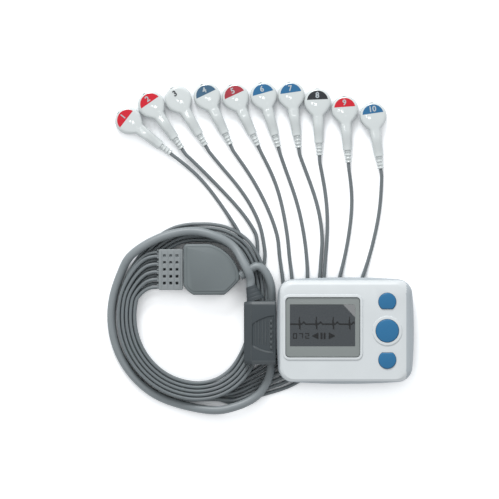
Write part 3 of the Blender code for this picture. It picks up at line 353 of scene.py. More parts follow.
def block(low, high):
    return prism([(low[0], low[1]), (high[0], low[1]), (high[0], high[1]), (low[0], high[1])], low[2], high[2])


def turned(centre, profile, sides, base=0.0):
    # round rings about a vertical axis, from pairs of radius and height in millimetres
    return loft([level(circle(radius * mm, centre, sides), base + height * mm) for radius, height in profile])


def pad(outlineAt, low, high, radius, steps=5):
    # a prism with a rounded upper edge; outlineAt gives the outline for an inset
    return loft([level(outlineAt(0.0), low), *reversed(edgeRings(outlineAt, high, radius, steps, -1))])


def smoothStep(value, low, high):
    share = min(max((value - low) / (high - low), 0.0), 1.0)
    return share * share * (3 - 2 * share)


def carve(shape, tools, operation="DIFFERENCE"):
    # one exact Boolean on loose shapes, all of which it uses up
    joined = bmesh.new()
    for item in tools:
        loose = meshOf(outward(item))
        joined.from_mesh(loose)
        bpy.data.meshes.remove(loose)
    body, tool = added("body", meshOf(outward(shape))), added("tool", meshOf(joined))
    step = body.modifiers.new("cut", "BOOLEAN")
    step.operation = operation
    step.solver = "EXACT"
    step.object = tool
    step.use_self = operation == "UNION"
    result = evaluated(body)
    drop(tool)
    return merged(result)


print("stage: floor")
floorShape = bmesh.new()
bmesh.ops.create_grid(floorShape, x_segments=1, y_segments=1, size=2.0)
floorMesh = meshOf(floorShape, "floor")
floorMesh.transform(Matrix.Translation((*view["centre"], floorLevel - 0.15 * mm)))
floorMesh.materials.append(floorWhite)
floor = added("floor", floorMesh)

print("stage: cords")
cord = sized({
    "wire": 2.0, "trunk": 4.0, "jacket": 4.8, "lane": 2.3, "trunkOffset": 12.9, "spacing": 1.6,
    "ring": (-82.7, 7.75, 37.5),  # centre and radius
    "comb": (-106.7, 24.6, 2.2),  # its face, first row and pitch of the rows
})
cordSides = 12
perTurn = 24  # stations, one every 15 degrees
coil = {
    "in": 11, "out": 41, "late": 49,  # stations where the wires join and leave the ring, and the first three leave
    "lowering": ((19, 21.3), (28.7, 31)),  # here each turn comes down by one layer
    "unpairing": (43, 44.5), "spreading": (41.6, 43.1),  # here the pairs of wires part, down and sideways
}
# stations of the path before the head: where smoothing starts, where it is full, how many stay; and its passes
easing = {"start": 42, "full": 28, "kept": 5, "passes": 60}
# radius of the coil's inner lane every 15 degrees from +X, against its radius at the left
ringShape = (
    0.764, 0.792, 0.883, 1.003, 1.128, 1.176, 1.168, 1.171, 1.120, 1.061, 1.024, 1.005,
    1.000, 1.000, 1.003, 1.008, 1.013, 1.013, 1.008, 0.981, 0.923, 0.848, 0.797, 0.771)
# free runs to the heads: x, y and, where it isn't 1, height above the floor, in millimetres
runs = {
    1: [(-54.2, 26), (-55.4, 38), (-58.3, 50), (-61.6, 58), (-69.4, 69.8), (-75.6, 78.8), (-81.9, 86.8),
        (-88.6, 93.5, 1.2)],
    2: [(-51.4, 26), (-50.3, 38), (-49.9, 47), (-50.8, 54.6), (-53.1, 59.1), (-58.2, 67), (-64.9, 74.9),
        (-73.9, 83.6), (-83, 93.5, 1.2)],
    3: [(-48.9, 26), (-46.6, 36), (-45.6, 43), (-46.3, 49.5), (-49.1, 62.5), (-53.1, 71.5), (-58.7, 80),
        (-66.1, 88.7), (-73.9, 96.9, 1.2)],
    4: [(-72, -32.3), (-63, -29.2), (-50, -22.2), (-38.4, -11.5), (-35, -0.5), (-34.2, 14), (-35.6, 29.8),
        (-37.3, 42.2), (-38.5, 53.5), (-41.3, 63.6), (-45.8, 74.3), (-52, 85.6), (-59.3, 96.9, 1.2)],
    5: [(-72, -34.4, 3.2), (-63, -31.5, 2.4), (-50, -25, 1.1), (-36.4, -14.6, 1.1), (-31.8, -4), (-30.2, 13),
        (-30.3, 29.8), (-31.7, 42.2), (-32.8, 54), (-34.5, 65.3), (-36.8, 76), (-39.6, 86.2), (-44.6, 95.8, 1.2)],
    6: [(-72, -34.8), (-63, -33.6), (-50, -27.7), (-34.6, -17.8), (-28, -7), (-23.5, 12), (-21.4, 30.4),
        (-22.3, 46.7), (-24.3, 60.8), (-27.1, 73.8), (-32.1, 87.3), (-36.2, 97.5, 1.2)],
    7: [(-72, -36.9, 3.2), (-63, -35.8, 2.9), (-50, -30.2, 1.1), (-32.9, -21, 1.1), (-24.5, -9.5), (-17.8, 11),
        (-14.4, 30.4), (-13.6, 41.1), (-12.8, 53.5), (-13.6, 64.8), (-16.9, 77.2), (-22, 90.1), (-24.9, 98.5, 1.2)],
    8: [(-72, -37.3), (-63, -37.9), (-50, -32.6), (-31.2, -24.2), (-21, -11.5), (-14.8, 10), (-12, 30.4),
        (-10.8, 43.9), (-9.6, 58), (-9.9, 71.5), (-11.9, 85), (-13.7, 93, 1.2)],
    9: [(-72, -39.4, 3.2), (-63, -40, 2.9), (-50, -35.2, 1.1), (-29.5, -27.2, 1.1), (-16.5, -14), (-8, 9),
        (-2.9, 30.4), (1.1, 46.7), (3.4, 60.8), (4.7, 74.9), (4.2, 83.5), (2.9, 89, 1.2)],
    10: [(-72, -39.8), (-63, -42), (-50, -37.9), (-28, -30.2), (-12.5, -17), (0, 6), (10.1, 30.4), (15.2, 45.6),
         (18.5, 59.7), (20.8, 72.1), (21.1, 80.5), (20.9, 86, 1.2)],
}
# disc centre and boot end of each head, in millimetres
heads = {
    1: ((-123.7, 119.8), (-99.6, 101.1)), 2: ((-110.6, 129.0), (-92.9, 103.5)),
    3: ((-95.2, 132.0), (-80.1, 106.4)), 4: ((-78.7, 133.7), (-65.6, 106.4)),
    5: ((-62.5, 133.3), (-49.8, 105.8)), 6: ((-46.4, 134.2), (-38.1, 104.9)),
    7: ((-30.7, 134.5), (-26.4, 104.9)), 8: ((-15.6, 130.5), (-14.4, 99.9)),
    9: ((0.0, 126.3), (2.2, 95.1)), 10: ((16.2, 122.6), (20.6, 91.9)),
}
# trunk cable from the yoke, and back to the plug
trunkOut = [(-53.4, 35.2, 9.3), (-50.4, 36.7, 9.3), (-47.3, 35.6, 9.3), (-44.2, 31.7, 9.0), (-41.9, 26, 7.8),
            (-41.5, 20.5, 6.2), (-41.5, 15, 4.6), (-41.5, 0, 4.4), (-41.5, -15, 4.4), (-42.8, -26, 4.4),
            (-48.3, -35.8, 4.5), (-56, -41.2, 4.9), (-65, -44.2, 5.6), (-76, -45.2, 5)]
trunkBack = [(-127.3, 33.2, 3.0), (-124, 40, 4.8), (-119, 45, 6.5), (-107.8, 51.6, 7.1), (-95.5, 55.5, 7.3),
             (-84.4, 56.1, 8.1), (-73.8, 53.4, 9.2), (-63.2, 47.6, 9.8), (-58, 39.5, 13.2), (-55, 33.4, 15),
             (-53.8, 29.9, 12.9), (-53.8, 25.7, 12.5)]


def cubicBetween(four, share):
    before, start, end, after = four
    return (start * 2 + (end - before) * share + (before * 2 - start * 5 + end * 4 - after) * share ** 2
            + (start * 3 - before - end * 3 + after) * share ** 3) / 2


def ringStation(index):
    index %= perTurn
    angle = 2 * math.pi * index / perTurn
    x, y, radius = cord["ring"]
    return Vector((x + radius * ringShape[index] * math.cos(angle), y + radius * ringShape[index] * math.sin(angle)))


def ringPoint(station, offset, height):
    index = math.floor(station)
    four = [ringStation(index + i) for i in (-1, 0, 1, 2)]
    here = cubicBetween(four, station - index)
    along = (cubicBetween(four, station - index + 0.01) - here).normalized()
    return Vector((here.x + along.y * offset, here.y - along.x * offset, floorLevel + height))


def levelHeight(layer):
    return cord["wire"] / 2 + layer * cord["lane"]


def wireOnRing(number, station):
    # two wires share a lane, the odd one above; the first turn lies on the second
    lane = (number - 1) // 2
    offset = cord["lane"] * (lane + (number - 1 - lane) * smoothStep(station, *coil["spreading"]))
    first, second = coil["lowering"]
    under = 2 - smoothStep(station, *first) - smoothStep(station, *second)
    return ringPoint(station, offset, levelHeight(under + number % 2 * (1 - smoothStep(station, *coil["unpairing"]))))


def centripetal(four, share):
    knots = [0.0]
    for a, b in zip(four, four[1:]):
        knots.append(knots[-1] + max((b - a).length, 1e-6) ** 0.5)
    t = knots[1] + (knots[2] - knots[1]) * share
    points = four
    for span in (1, 2):
        points = [between(a, b, knots[i], knots[i + span], t) for i, (a, b) in enumerate(zip(points, points[1:]))]
    return between(*points, knots[1], knots[2], t)


def between(a, b, start, end, t):
    return a * ((end - t) / (end - start)) + b * ((t - start) / (end - start))


def throughPoints(chain):
    # the first and last of the chain only steer the curve
    dense = []
    for i in range(len(chain) - 3):
        dense += [centripetal(chain[i:i + 4], step / 24) for step in range(24)]
    return [*dense, chain[-2]]


def evenly(points, spacing):
    lengths = [0.0]
    for a, b in zip(points, points[1:]):
        lengths.append(lengths[-1] + (b - a).length)
    wanted = np.linspace(0.0, lengths[-1], max(round(lengths[-1] / spacing), 2) + 1)
    columns = [np.interp(wanted, lengths, [p[axis] for p in points]) for axis in range(3)]
    return [Vector(p) for p in zip(*columns)]


def placed(points):
    return [Vector((x * mm, y * mm, floorLevel + (z[0] if z else 1) * mm)) for x, y, *z in points]


def headFrame(number):
    # the end of a head's boot, its axis, and the way across it
    centre, end = (Vector((x * mm, y * mm, 0.0)) for x, y in heads[number])
    axis = (centre - end).normalized()
    return centre - axis * head["centre"], axis, Vector((-axis.y, axis.x, 0.0))


def wirePath(number):
    face, firstRow, pitch = cord["comb"]
    y = firstRow + pitch * (number - 1)
    height = floorLevel + levelHeight(2 + number % 2)
    first, last = coil["in"], coil["late" if number < 4 else "out"]
    joined = wireOnRing(number, first)
    bendStart = face - 1.2 * cord["wire"]
    chain = [Vector((face + reach * mm, y, height)) for reach in (14, 13, 6, 0)]
    for step in range(5):
        angle = quarter * step / 5
        chain.append(Vector((joined[0] + (bendStart - joined[0]) * (1 - math.sin(angle)) ** 0.8,
                             joined[1] + (y - joined[1]) * math.cos(angle) ** 1.3, height)))
    chain += [wireOnRing(number, first + step / 2) for step in range(2 * (last - first) + 1)]
    ahead = (wireOnRing(number, last) - wireOnRing(number, last - 1)).normalized()
    straightBit = 2 * cord["wire"] + gap
    chain.append(chain[-1] + ahead * straightBit)
    chain += placed(runs[number])
    boot, axis = headFrame(number)[:2]
    boot.z = floorLevel + 2 * mm + gap
    chain += [boot + axis * along for along in (-straightBit, -gap, 2 * mm, 3 * mm)]
    return eased(evenly(throughPoints(chain), cord["spacing"]))


def eased(path):
    # the free stretch before the head is smoothed, all but its end inside the boot
    start, full, end = (len(path) - easing[name] for name in ("start", "full", "kept"))
    weights = {i: 0.5 * smoothStep(i, start, full) for i in range(start, end)}
    for repeat in range(easing["passes"]):
        for i, weight in weights.items():
            path[i] = path[i].lerp((path[i - 1] + path[i + 1]) / 2, weight)
    return path


def trunkPath():
    ring = [ringPoint(station, cord["trunkOffset"], (cord["trunk"] + gap) / 2) for station in range(17, 10, -1)]
    chain = [*placed(trunkOut), *ring, *placed(trunkBack)]
    chain = [chain[0] + (chain[0] - chain[1]).normalized() * 2 * mm, *chain,
             chain[-1] + (chain[-1] - chain[-2]).normalized() * 2 * mm]
    chain = [chain[0] + (chain[0] - chain[1]), *chain, chain[-1] + (chain[-1] - chain[-2])]
    path = evenly(throughPoints(chain), 1.5 * cord["spacing"])
    # the jacket is a little thicker than the core it dresses: it grows away from the wires, and from the recorder
    centre = Vector((*cord["ring"][:2], 0.0))
    grow = (cord["jacket"] - cord["trunk"]) / 2
    for i, point in enumerate(path):
        share = smoothStep(i, 2, 8) * smoothStep(len(path) - 1 - i, 2, 8)
        away = Vector((point.x, point.y, 0.0)) - centre
        side = away.normalized().lerp(Vector((-1.0, 0.0, 0.0)), smoothStep(point.x, -72 * mm, -60 * mm))
        path[i] = point + (side + up) * grow * share
    return path


def cordPiece(name, path, diameter, finish, instead):
    return keep(name, loft(tubeRings(path, lambda i: diameter / 2, cordSides)), finish, instead=instead)


head = sized({
    "disc": 7.7,
    "centre": 30.5,  # disc centre, from the end of the boot
    "height": 6.4, "neckHeight": 4.6, "edge": 1.7, "crown": 0.25,
    "neckStart": 7.3, "neckWidths": (5.4, 8.0), "neckRise": 11.0, "fillet": 3.0, "filletReach": (2.5, 5.5),
    "label": 6.1, "labelShift": 0.4, "labelChord": 1.0, "labelThickness": 0.12, "labelLift": 0.04,
    "number": 4.5, "numberFrom": 2.35, "numberThickness": 0.3, "numberLift": 0.05,
})
labels = {1: "red", 2: "red", 3: None, 4: "slate", 5: "maroon", 6: "blue", 7: "blue", 8: "black", 9: "red",
          10: "blue"}
wirePaths = {number: wirePath(number) for number in runs}
wirePieces = {number: cordPiece("leadWire%d" % number, path, cord["wire"], "wire",
                                ("lead_wire_%d_coil" % number, "lead_wire_%d_run" % number))
              for number, path in wirePaths.items()}
trunkLine = trunkPath()
trunkPiece = cordPiece("trunkCable", trunkLine, cord["jacket"], "trunk", ("trunk_cable",))

print("stage: snap heads")


def headHalfWidth(distance):
    # half width of the outline: a smooth union of the neck and the disc
    near, far = (w / 2 for w in head["neckWidths"])
    across = distance - head["centre"]
    disc = math.sqrt(max(head["disc"] ** 2 - across ** 2, 0.0))
    if across > 0:
        return disc
    share = min(max((distance - head["neckStart"]) / (head["centre"] - head["neckStart"]), 0.0), 1.0)
    neck = near + (far - near) * share ** 1.6
    blend = head["fillet"] * smoothStep(-across, *head["filletReach"])
    if blend <= 0:
        return max(neck, disc)
    close = max(blend - abs(neck - disc), 0.0) / blend
    return max(neck, disc) + close * close * blend / 4


def headEdge(distance, u, halfWidth):
    radial = head["disc"] - math.hypot(distance - head["centre"], u)
    share = smoothStep(distance, head["centre"] - head["disc"] * 0.9, head["centre"] - head["disc"] * 0.2)
    return (halfWidth - abs(u)) * (1 - share) + radial * share


def crownDrop(distance, u):
    # how far the crowned top lies below its middle
    return head["crown"] * min(math.hypot(distance - head["centre"], u) / head["disc"], 1) ** 2


def headTop(distance, u):
    return bed + head["height"] - crownDrop(distance, u)


def headBody(number):
    end, axis, side = headFrame(number)
    neckStart = head["neckStart"]
    stations = [*np.linspace(neckStart, head["centre"], 30)]
    stations += [head["centre"] + head["disc"] * math.sin(a) for a in np.linspace(0.12, 1.53, 16)]
    stations.append((head["centre"] + head["disc"]) * 0.99985)
    rings = []
    for distance in stations:
        half = headHalfWidth(distance)
        share = smoothStep(distance, neckStart, neckStart + head["neckRise"])
        height = head["neckHeight"] + (head["height"] - head["neckHeight"]) * share
        edge = min(head["edge"] + (1 - share) * 0.5 * mm, half * 0.98)
        top, bottom = [], []
        for t in np.linspace(-1, 1, 17):
            u = math.sin(quarter * t) * half
            inside = max(headEdge(distance, u, half), 0.0)
            rounding = edge - math.sqrt(max(edge ** 2 - max(edge - inside, 0.0) ** 2, 0.0))
            point = end + axis * distance + side * u
            top.append((point.x, point.y, bed + height - rounding * 1.15 - crownDrop(distance, u)))
            bottom.append((point.x, point.y, bed + rounding * 0.6))
        rings.append([*top, *reversed(bottom)])
    return keep("leadHead%d" % number, loft(rings), "head", instead=("lead_head_%d" % number,), sharp=50)


def labelPiece(number, colour):
    # the far half of a disc, laid on the crown
    end, axis, side = headFrame(number)
    shape = bmesh.new()
    chord = head["labelChord"]
    loops = []
    for share in np.linspace(-1, 1, 33):
        u = math.sqrt(head["label"] ** 2 - chord ** 2) * share
        far = math.sqrt(max(head["label"] ** 2 - u ** 2, 0.0))
        column = []
        for v in np.linspace(chord, max(far, chord + 0.05 * mm), 9):
            distance = head["centre"] + head["labelShift"] + v
            point = end + axis * distance + side * u
            column.append(shape.verts.new((point.x, point.y, headTop(distance, u) + head["labelLift"])))
        loops.append(column)
    faces = [shape.faces.new((left[i], left[i + 1], right[i + 1], right[i]))
             for left, right in zip(loops, loops[1:]) for i in range(8)]
    lifted = bmesh.ops.extrude_face_region(shape, geom=faces)
    moved = [item for item in lifted["geom"] if isinstance(item, bmesh.types.BMVert)]
    bmesh.ops.translate(shape, verts=moved, vec=(0.0, 0.0, -head["labelThickness"]))
    return keep("headLabel%d" % number, shape, colour)


def numberPiece(number):
    curve = bpy.data.curves.new("lettering", "FONT")
    curve.body = str(number)
    curve.size = head["number"]
    curve.extrude = head["numberThickness"] / 2
    curve.align_x = "CENTER"
    curve.align_y = "CENTER"
    curve.offset = curve.size * 0.022
    curve.resolution_u = 3
    shape = merged(evaluated(added("lettering", curve)))
    end, axis, side = headFrame(number)
    distance = head["centre"] + head["labelShift"] + head["labelChord"] + head["numberFrom"]
    point = end + axis * distance
    shape.transform(Matrix(((-side.x, axis.x, 0, point.x), (-side.y, axis.y, 0, point.y),
                            (0, 0, 1, headTop(distance, 0) + head["numberLift"]), (0, 0, 0, 1))))
    return keep("headNumber%d" % number, shape, "paleInk" if labels[number] else "darkInk")


headPieces = {}
for number, colour in labels.items():
    headPieces[number] = [headBody(number)]
    if colour:
        headPieces[number].append(labelPiece(number, colour))
    headPieces[number].append(numberPiece(number))

print("stage: recorder case")
case = sized({
    "length": 78.2, "width": 60.6, "corner": 7.0, "bulge": 1.6, "wall": 2.0, "shoulder": 3.0, "rearEdge": 3.0,
    "seams": (1.3, 2.4),  # rear shell's rim and front shell's rim
    "bevels": {"left": 2.0, "right": 3.0, "low": 1.3, "high": 3.0},
    "bosses": ((-29.9, 22.7), (-29.9, -22.7), (11.75, 22.7), (11.75, -22.7)),
    "inside": ((4.2, 7.45), (3.6, 6.0), (2.4, 4.4), (2.0, 2.4)),  # insets of the front's inner wall and their levels
    "windowSeat": 7.95,
    "openings": 6.4,  # the cuts for display and keys start here
    "above": 12.0,
    "cardSlot": ((-18.3, -31.3, -2.4), (6.3, -27.3, 0.3)),
    "leadHole": ((-40.1, -13.5, -5.05), (-36.1, 11.1, 0.55)),
    "collar": 8.5,
    "rightBevel": (34.6, 27.5),
})
bay = sized({"x": 24.6, "half": 5.75, "low": -25.05, "high": 25.15, "door": -31.3, "top": 2.15, "wall": 1.2})
window = sized({"centre": (-12.85, 2.0), "size": (42.0, 33.7, 2.0), "lip": 1.8, "lipHeight": 0.6,
                "screen": (-13.0, 3.1, 37.1, 23.9), "dot": 0.29})
# radius, the side that is cut flat, and place of each key
keys = {"up_button": (5.05 * mm, -1, 16.5 * mm), "select_button": (6.6 * mm, 0, 0.0),
        "down_button": (5.05 * mm, 1, -16.5 * mm)}
keyX = 23.8 * mm
keyFlat = 4.1 * mm
cornerSteps = 10
sideSteps = 24


def caseOutline(inset=0.0, swell=1.0, left=0.0, right=0.0, low=0.0, high=0.0):
    length = case["length"] - 2 * case["bulge"]
    width = case["width"] - 2 * case["bulge"]
    base = roundedRect(length, width, case["corner"], steps=cornerSteps)
    points = []
    for i, (x, y) in enumerate(base):
        points.append((x, y))
        if i % (cornerSteps + 1) == cornerSteps:
            nextX, nextY = base[(i + 1) % len(base)]
            points += [(x + (nextX - x) * s / sideSteps, y + (nextY - y) * s / sideSteps)
                       for s in range(1, sideSteps)]
    shaped = []
    for x, y in points:
        growX = 1 + swell * 2 * case["bulge"] / length * (1 - (2 * y / width) ** 2)
        growY = 1 + swell * 2 * case["bulge"] / width * (1 - (2 * x / length) ** 2)
        shaped.append((x * growX * (1 - (2 * inset + left + right) / case["length"]) + (left - right) / 2,
                       y * growY * (1 - (2 * inset + low + high) / case["width"]) + (low - high) / 2))
    return shaped


def frontShell():
    seam = case["seams"][1]
    shoulder = caseTop - case["shoulder"]
    rings = stack(caseOutline, case["inside"])
    rings += [level(caseOutline(), seam), level(caseOutline(swell=0.93), seam + mm),
              level(caseOutline(swell=0.12), shoulder - 0.5 * mm)]
    first = math.radians(28)  # the round shoulder ends in an edge at the flat top
    for step in range(9):
        angle = quarter - (quarter - first) * step / 8
        share = (1 - math.sin(angle)) / (1 - math.sin(first))
        height = shoulder + case["shoulder"] * math.cos(angle) / math.cos(first)
        rings.append(level(caseOutline(swell=0.0, **{k: v * share for k, v in case["bevels"].items()}), height))
    length, width, corner = window["size"]
    lip, top = window["lip"], case["above"]

    def windowOutline(grow, radius):
        return roundedRect(length + 2 * grow, width + 2 * grow, radius, window["centre"])

    raised = [pad(lambda inset: windowOutline(lip - inset, corner + lip - inset), caseTop - mm,
                  caseTop + window["lipHeight"], 0.5 * mm),
              pad(lambda inset: circle(case["collar"] - inset, (keyX, 0.0), 64), caseTop - mm, caseTop + 0.5 * mm,
                  0.45 * mm)]
    shape = carve(loft(rings), raised, "UNION")
    shape = carve(shape, [prism(windowOutline(gap, corner + gap), case["windowSeat"], top)])
    cuts = [prism(windowOutline(-1.6 * mm, corner), case["openings"], top)]
    cuts += [prism(keyOutline(*item, 0.14 * mm), case["openings"], top) for item in keys.values()]
    piece = keep("frontShell", carve(shape, cuts), "case", "recorder", ("front_shell",), sharp=24)
    # painted shade: the swollen sides below the shoulder, and the right-hand bevel, take a darker copy of the case
    # plastic where less light falls
    right, end = case["rightBevel"]
    repaint(piece, "side", lambda at, way: (at.z < shoulder - 0.1 * mm and abs(way.z) < 0.75) or (
        at.x > right and way.x > 0.2 and abs(at.y) < end and at.z < caseTop - 0.02 * mm))


def keyOutline(radius, flatSide, centreY, margin=0.0):
    points = []
    for x, y in circle(radius + margin, sides=72):
        if flatSide:
            y = min(y * flatSide, keyFlat + margin) * flatSide
        points.append((keyX + x, centreY + y))
    return points


def keyCap(name):
    # a flange under the shell, a rounded edge, and a crown of 0.28 mm
    spec = keys[name]
    edge = caseTop + 0.82 * mm

    def outlineAt(inset):
        return keyOutline(*spec, -inset)

    rings = stack(outlineAt, sized(((-1.0, 6.15), (-1.0, 7.15), (0.0, 7.15))))
    rings += reversed(edgeRings(outlineAt, edge, 0.7 * mm, 6, -1))
    rings += stack(outlineAt, [(inset * mm, edge + rise * mm)
                               for inset, rise in ((1.4, 0.1), (2.3, 0.18), (3.3, 0.25), (4.0, 0.28))])
    keep(name.split("_")[0] + "ButtonCap", loft(rings), "key", name, (name,))


def bayBox(margin):
    half = bay["half"] + margin
    return (bay["x"] - half, bay["low"] - margin), (bay["x"] + half, bay["high"] + margin)


def rearRings():
    return edgeRings(caseOutline, caseBottom, case["rearEdge"], 8)


def doorBox(margin):
    low, high = bayBox(1.6 * mm + margin)
    return block((low[0], bay["door"], caseBottom - mm), (*high, caseBottom + 1.3 * mm + margin))


def rearShell():
    wall, seam = case["wall"], case["seams"][0]
    rings = rearRings() + stack(caseOutline, ((0.0, seam), (wall, seam), (wall, caseBottom + 3 * mm),
                                              (3 * mm, caseBottom + 2 * mm)))
    low, high = bayBox(bay["wall"])
    rooted = caseBottom + mm
    walls = [block((*low, rooted), (*high, bay["top"]))]
    walls += [prism(circle(3.3 * mm, place), rooted, bay["top"]) for place in case["bosses"]]
    shape = carve(loft(rings), walls, "UNION")
    low, high = bayBox(0.0)
    bore = ((2.75, -11.55), (2.75, -10.55), (2.3, -10.2), (2.3, -8.45), (1.4, -8.45), (1.4, 3.15))
    cuts = [block((*low, caseBottom - mm), (*high, bay["top"] + mm)),
            *[turned(place, bore, 48) for place in case["bosses"]], block(*case["cardSlot"]), block(*case["leadHole"])]
    shape = carve(carve(shape, cuts), [doorBox(gap)])
    # painted shade: the rear shell takes the darker copy of the case plastic
    keep("rearShell", shape, "side", "recorder", ("rear_shell",), sharp=24)


def batteryDoor():
    shape = carve(loft([*rearRings(), level(caseOutline(), 0.0)]), [doorBox(0.0)], "INTERSECT")
    # painted shade: the door takes the darker copy of the case plastic too
    keep("doorPanel", shape, "side", "battery_door", ("battery_door",), sharp=24)


frontShell()
rearShell()
batteryDoor()
for name in keys:
    keyCap(name)

print("stage: window and display")


def windowPane():
    length, width, corner = window["size"]
    x, y, across, tall = window["screen"]
    pane = pad(lambda inset: roundedRect(length - 2 * inset, width - 2 * inset, corner - inset * 0.6,
                                         window["centre"]), 8.25 * mm, caseTop, 0.3 * mm)
    recess = prism(roundedRect(across, tall, 0.3 * mm, (x, y)), caseTop - 0.35 * mm, caseTop + mm)
    keep("windowPane", carve(pane, [recess]), "bezel", "recorder", ("display_window",))
    screen = roundedRect(across - 0.1 * mm, tall - 0.1 * mm, 0.3 * mm, (x, y))
    keep("screenGlass", prism(screen, caseTop - 0.33 * mm, caseTop - 0.15 * mm), "screen", "recorder")


# seven strokes of a digit in dots: left, low, width, height
strokes = {"a": (0, 9, 8, 2), "b": (6, 5, 2, 5), "c": (6, 1, 2, 5), "d": (0, 0, 8, 2), "e": (0, 1, 2, 5),
           "f": (0, 5, 2, 5), "g": (0, 5, 8, 1)}
digits = {"0": "abcdef", "2": "abged", "7": "abc"}


def dots(left, low, wide, tall):
    return {(left + i, low + j) for i in range(wide) for j in range(tall)}


def litDots():
    # dots of the heart trace, a plain number and the arrow signs, on a 128 by 82 grid from the lower left
    base, signs = 43, 20
    beats = (18, 51, 84, 116)
    trace = [base + round(sum(4.2 * math.exp(-((column - beat - 9) / 2.3) ** 2) for beat in beats))
             for column in range(128)]
    lit = set()
    for column, pair in enumerate(zip(trace, trace[1:])):
        lit |= dots(column, min(pair) - 1, 1, max(pair) - min(pair) + 3)
    for x in beats:
        lit |= dots(x, base - 9, 2, 24) | dots(x - 1, base - 3, 1, 12) | dots(x + 2, base - 11, 1, 15)
    for place, digit in enumerate("072"):
        for stroke in digits[digit]:
            left, low, wide, tall = strokes[stroke]
            lit |= dots(6 + 12 * place + left, 15 + low, wide, tall)
    for i in range(12):
        half = i // 2 + 1
        lit |= dots(44 + i, signs - half, 1, 2 * half + 1) | dots(87 - i, signs - half, 1, 2 * half + 1)
    return sorted(lit | dots(60, signs - 6, 4, 13) | dots(66, signs - 6, 4, 13))


socketKinds = {"Geometry": "Geometry", "Count": "Int", "Step": "Vector", "Material": "Material"}


def groupTree(name, *labels):
    tree = bpy.data.node_groups.new(name, "GeometryNodeTree")
    for label in ("Geometry", *labels, "Material"):
        tree.interface.new_socket(label, in_out="INPUT", socket_type="NodeSocket" + socketKinds.get(label, "Float"))
    tree.interface.new_socket("Geometry", in_out="OUTPUT", socket_type="NodeSocketGeometry")
    return tree, addNode(tree, "NodeGroupInput"), addNode(tree, "GeometryNodeInstanceOnPoints")


def endTree(tree, start, spread):
    # every tree ends in real geometry with its material
    real = addNode(tree, "GeometryNodeRealizeInstances")
    paint = addNode(tree, "GeometryNodeSetMaterial")
    link(tree, (spread, "Instances", real, "Geometry"), (real, "Geometry", paint, "Geometry"),
         (start, "Material", paint, "Material"), (paint, "Geometry", addNode(tree, "NodeGroupOutput"), "Geometry"))
    return tree


def dotTree():
    # a flat dot on every point
    tree, start, spread = groupTree("dots", "Dot Size", "Dot Height")
    size = addNode(tree, "ShaderNodeCombineXYZ")
    cube = addNode(tree, "GeometryNodeMeshCube")
    link(tree, (start, "Dot Size", size, "X"), (start, "Dot Size", size, "Y"), (start, "Dot Height", size, "Z"),
         (size, "Vector", cube, "Size"), (start, "Geometry", spread, "Points"), (cube, "Mesh", spread, "Instance"))
    return endTree(tree, start, spread)


def rowTree():
    # the input shape repeated along a straight row
    tree, start, spread = groupTree("row", "Count", "Step")
    line = addNode(tree, "GeometryNodeMeshLine")
    link(tree, (start, "Count", line, "Count"), (start, "Step", line, "Offset"), (line, "Mesh", spread, "Points"),
         (start, "Geometry", spread, "Instance"))
    return endTree(tree, start, spread)


def ringTree():
    # rounded rings strung along every edge of the input
    tree, start, spread = groupTree("rings", "Count", "Ring Radius", "Ring Thickness")
    line = addNode(tree, "GeometryNodeMeshToCurve")
    points = addNode(tree, "GeometryNodeCurveToPoints")
    points.mode = "COUNT"
    big = addNode(tree, "GeometryNodeCurvePrimitiveCircle", Resolution=20)
    small = addNode(tree, "GeometryNodeCurvePrimitiveCircle", Resolution=8)
    ring = addNode(tree, "GeometryNodeCurveToMesh")
    link(tree, (start, "Geometry", line, "Mesh"), (line, "Curve", points, "Curve"), (start, "Count", points, "Count"),
         (start, "Ring Radius", big, "Radius"), (start, "Ring Thickness", small, "Radius"),
         (big, "Curve", ring, "Curve"), (small, "Curve", ring, "Profile Curve"),
         (points, "Points", spread, "Points"), (points, "Rotation", spread, "Rotation"),
         (ring, "Mesh", spread, "Instance"))
    return endTree(tree, start, spread)


def grown(name, shape, tree, finish, body="lead_set", instead=(), sharp=35, **values):
    # runs a tree on a shape and keeps the result as a plain mesh; underscores stand for spaces
    seed = added(name, meshOf(shape, name))
    step = seed.modifiers.new("nodes", "NODES")
    step.node_group = trees[tree]
    sockets = {item.name: item.identifier for item in trees[tree].interface.items_tree if item.in_out == "INPUT"}
    step[sockets["Material"]] = finishes[finish]
    for label, value in values.items():
        step[sockets[label.replace("_", " ")]] = value
    return keep(name, evaluated(seed), finish, body, instead, sharp)


trees = {"dots": dotTree(), "row": rowTree(), "rings": ringTree()}


def screenDots():
    x, y, across, tall = window["screen"]
    dot = window["dot"]
    shape = bmesh.new()
    for column, row in litDots():
        shape.verts.new((x - across / 2 + (column + 0.5) * dot, y - tall / 2 + (row + 0.5) * dot,
                         caseTop - 0.13 * mm))
    grown("screenDots", shape, "dots", "trace", "recorder", Dot_Size=0.93 * dot, Dot_Height=0.06 * mm)


windowPane()
screenDots()

print("stage: plug, yoke and boots")
plug = sized({
    "face": -39.4, "back": -57.7, "slope": 4.2, "low": -19.3, "high": 16.9, "middle": -0.55, "height": 10.0,
    "recess": 0.55, "lip": 0.9, "chamfer": 1.9,
    # how much narrower and lower each ring is, and how far it lies from the end it is measured from
    "back rings": ((0.0, -2.6, -3.6), (0.35, -1.3, -2.8), (2.1, -0.3, -1.2), (3.7, 0.0, -0.25), (4.5, 0.0, 0.0)),
    "face rings": ((-0.6, 0.0, 0.0), (0.0, -0.8, -0.8)),
    "grip": (-53.0, -40.6, -8.2),  # left, right and lower end of the left side
    "ridge": (-51.2, 15.0, 0.34, 2.0),  # first place, length, radius and step
    "nub": (-42.2, -9.6, 1.4, 1.7, 3.0),  # first place, sizes and step
    "bar": (-53.55, -17.2, 15.0, 0.28),  # place, ends and radius
})
plugTop = plug["middle"] + plug["height"] / 2


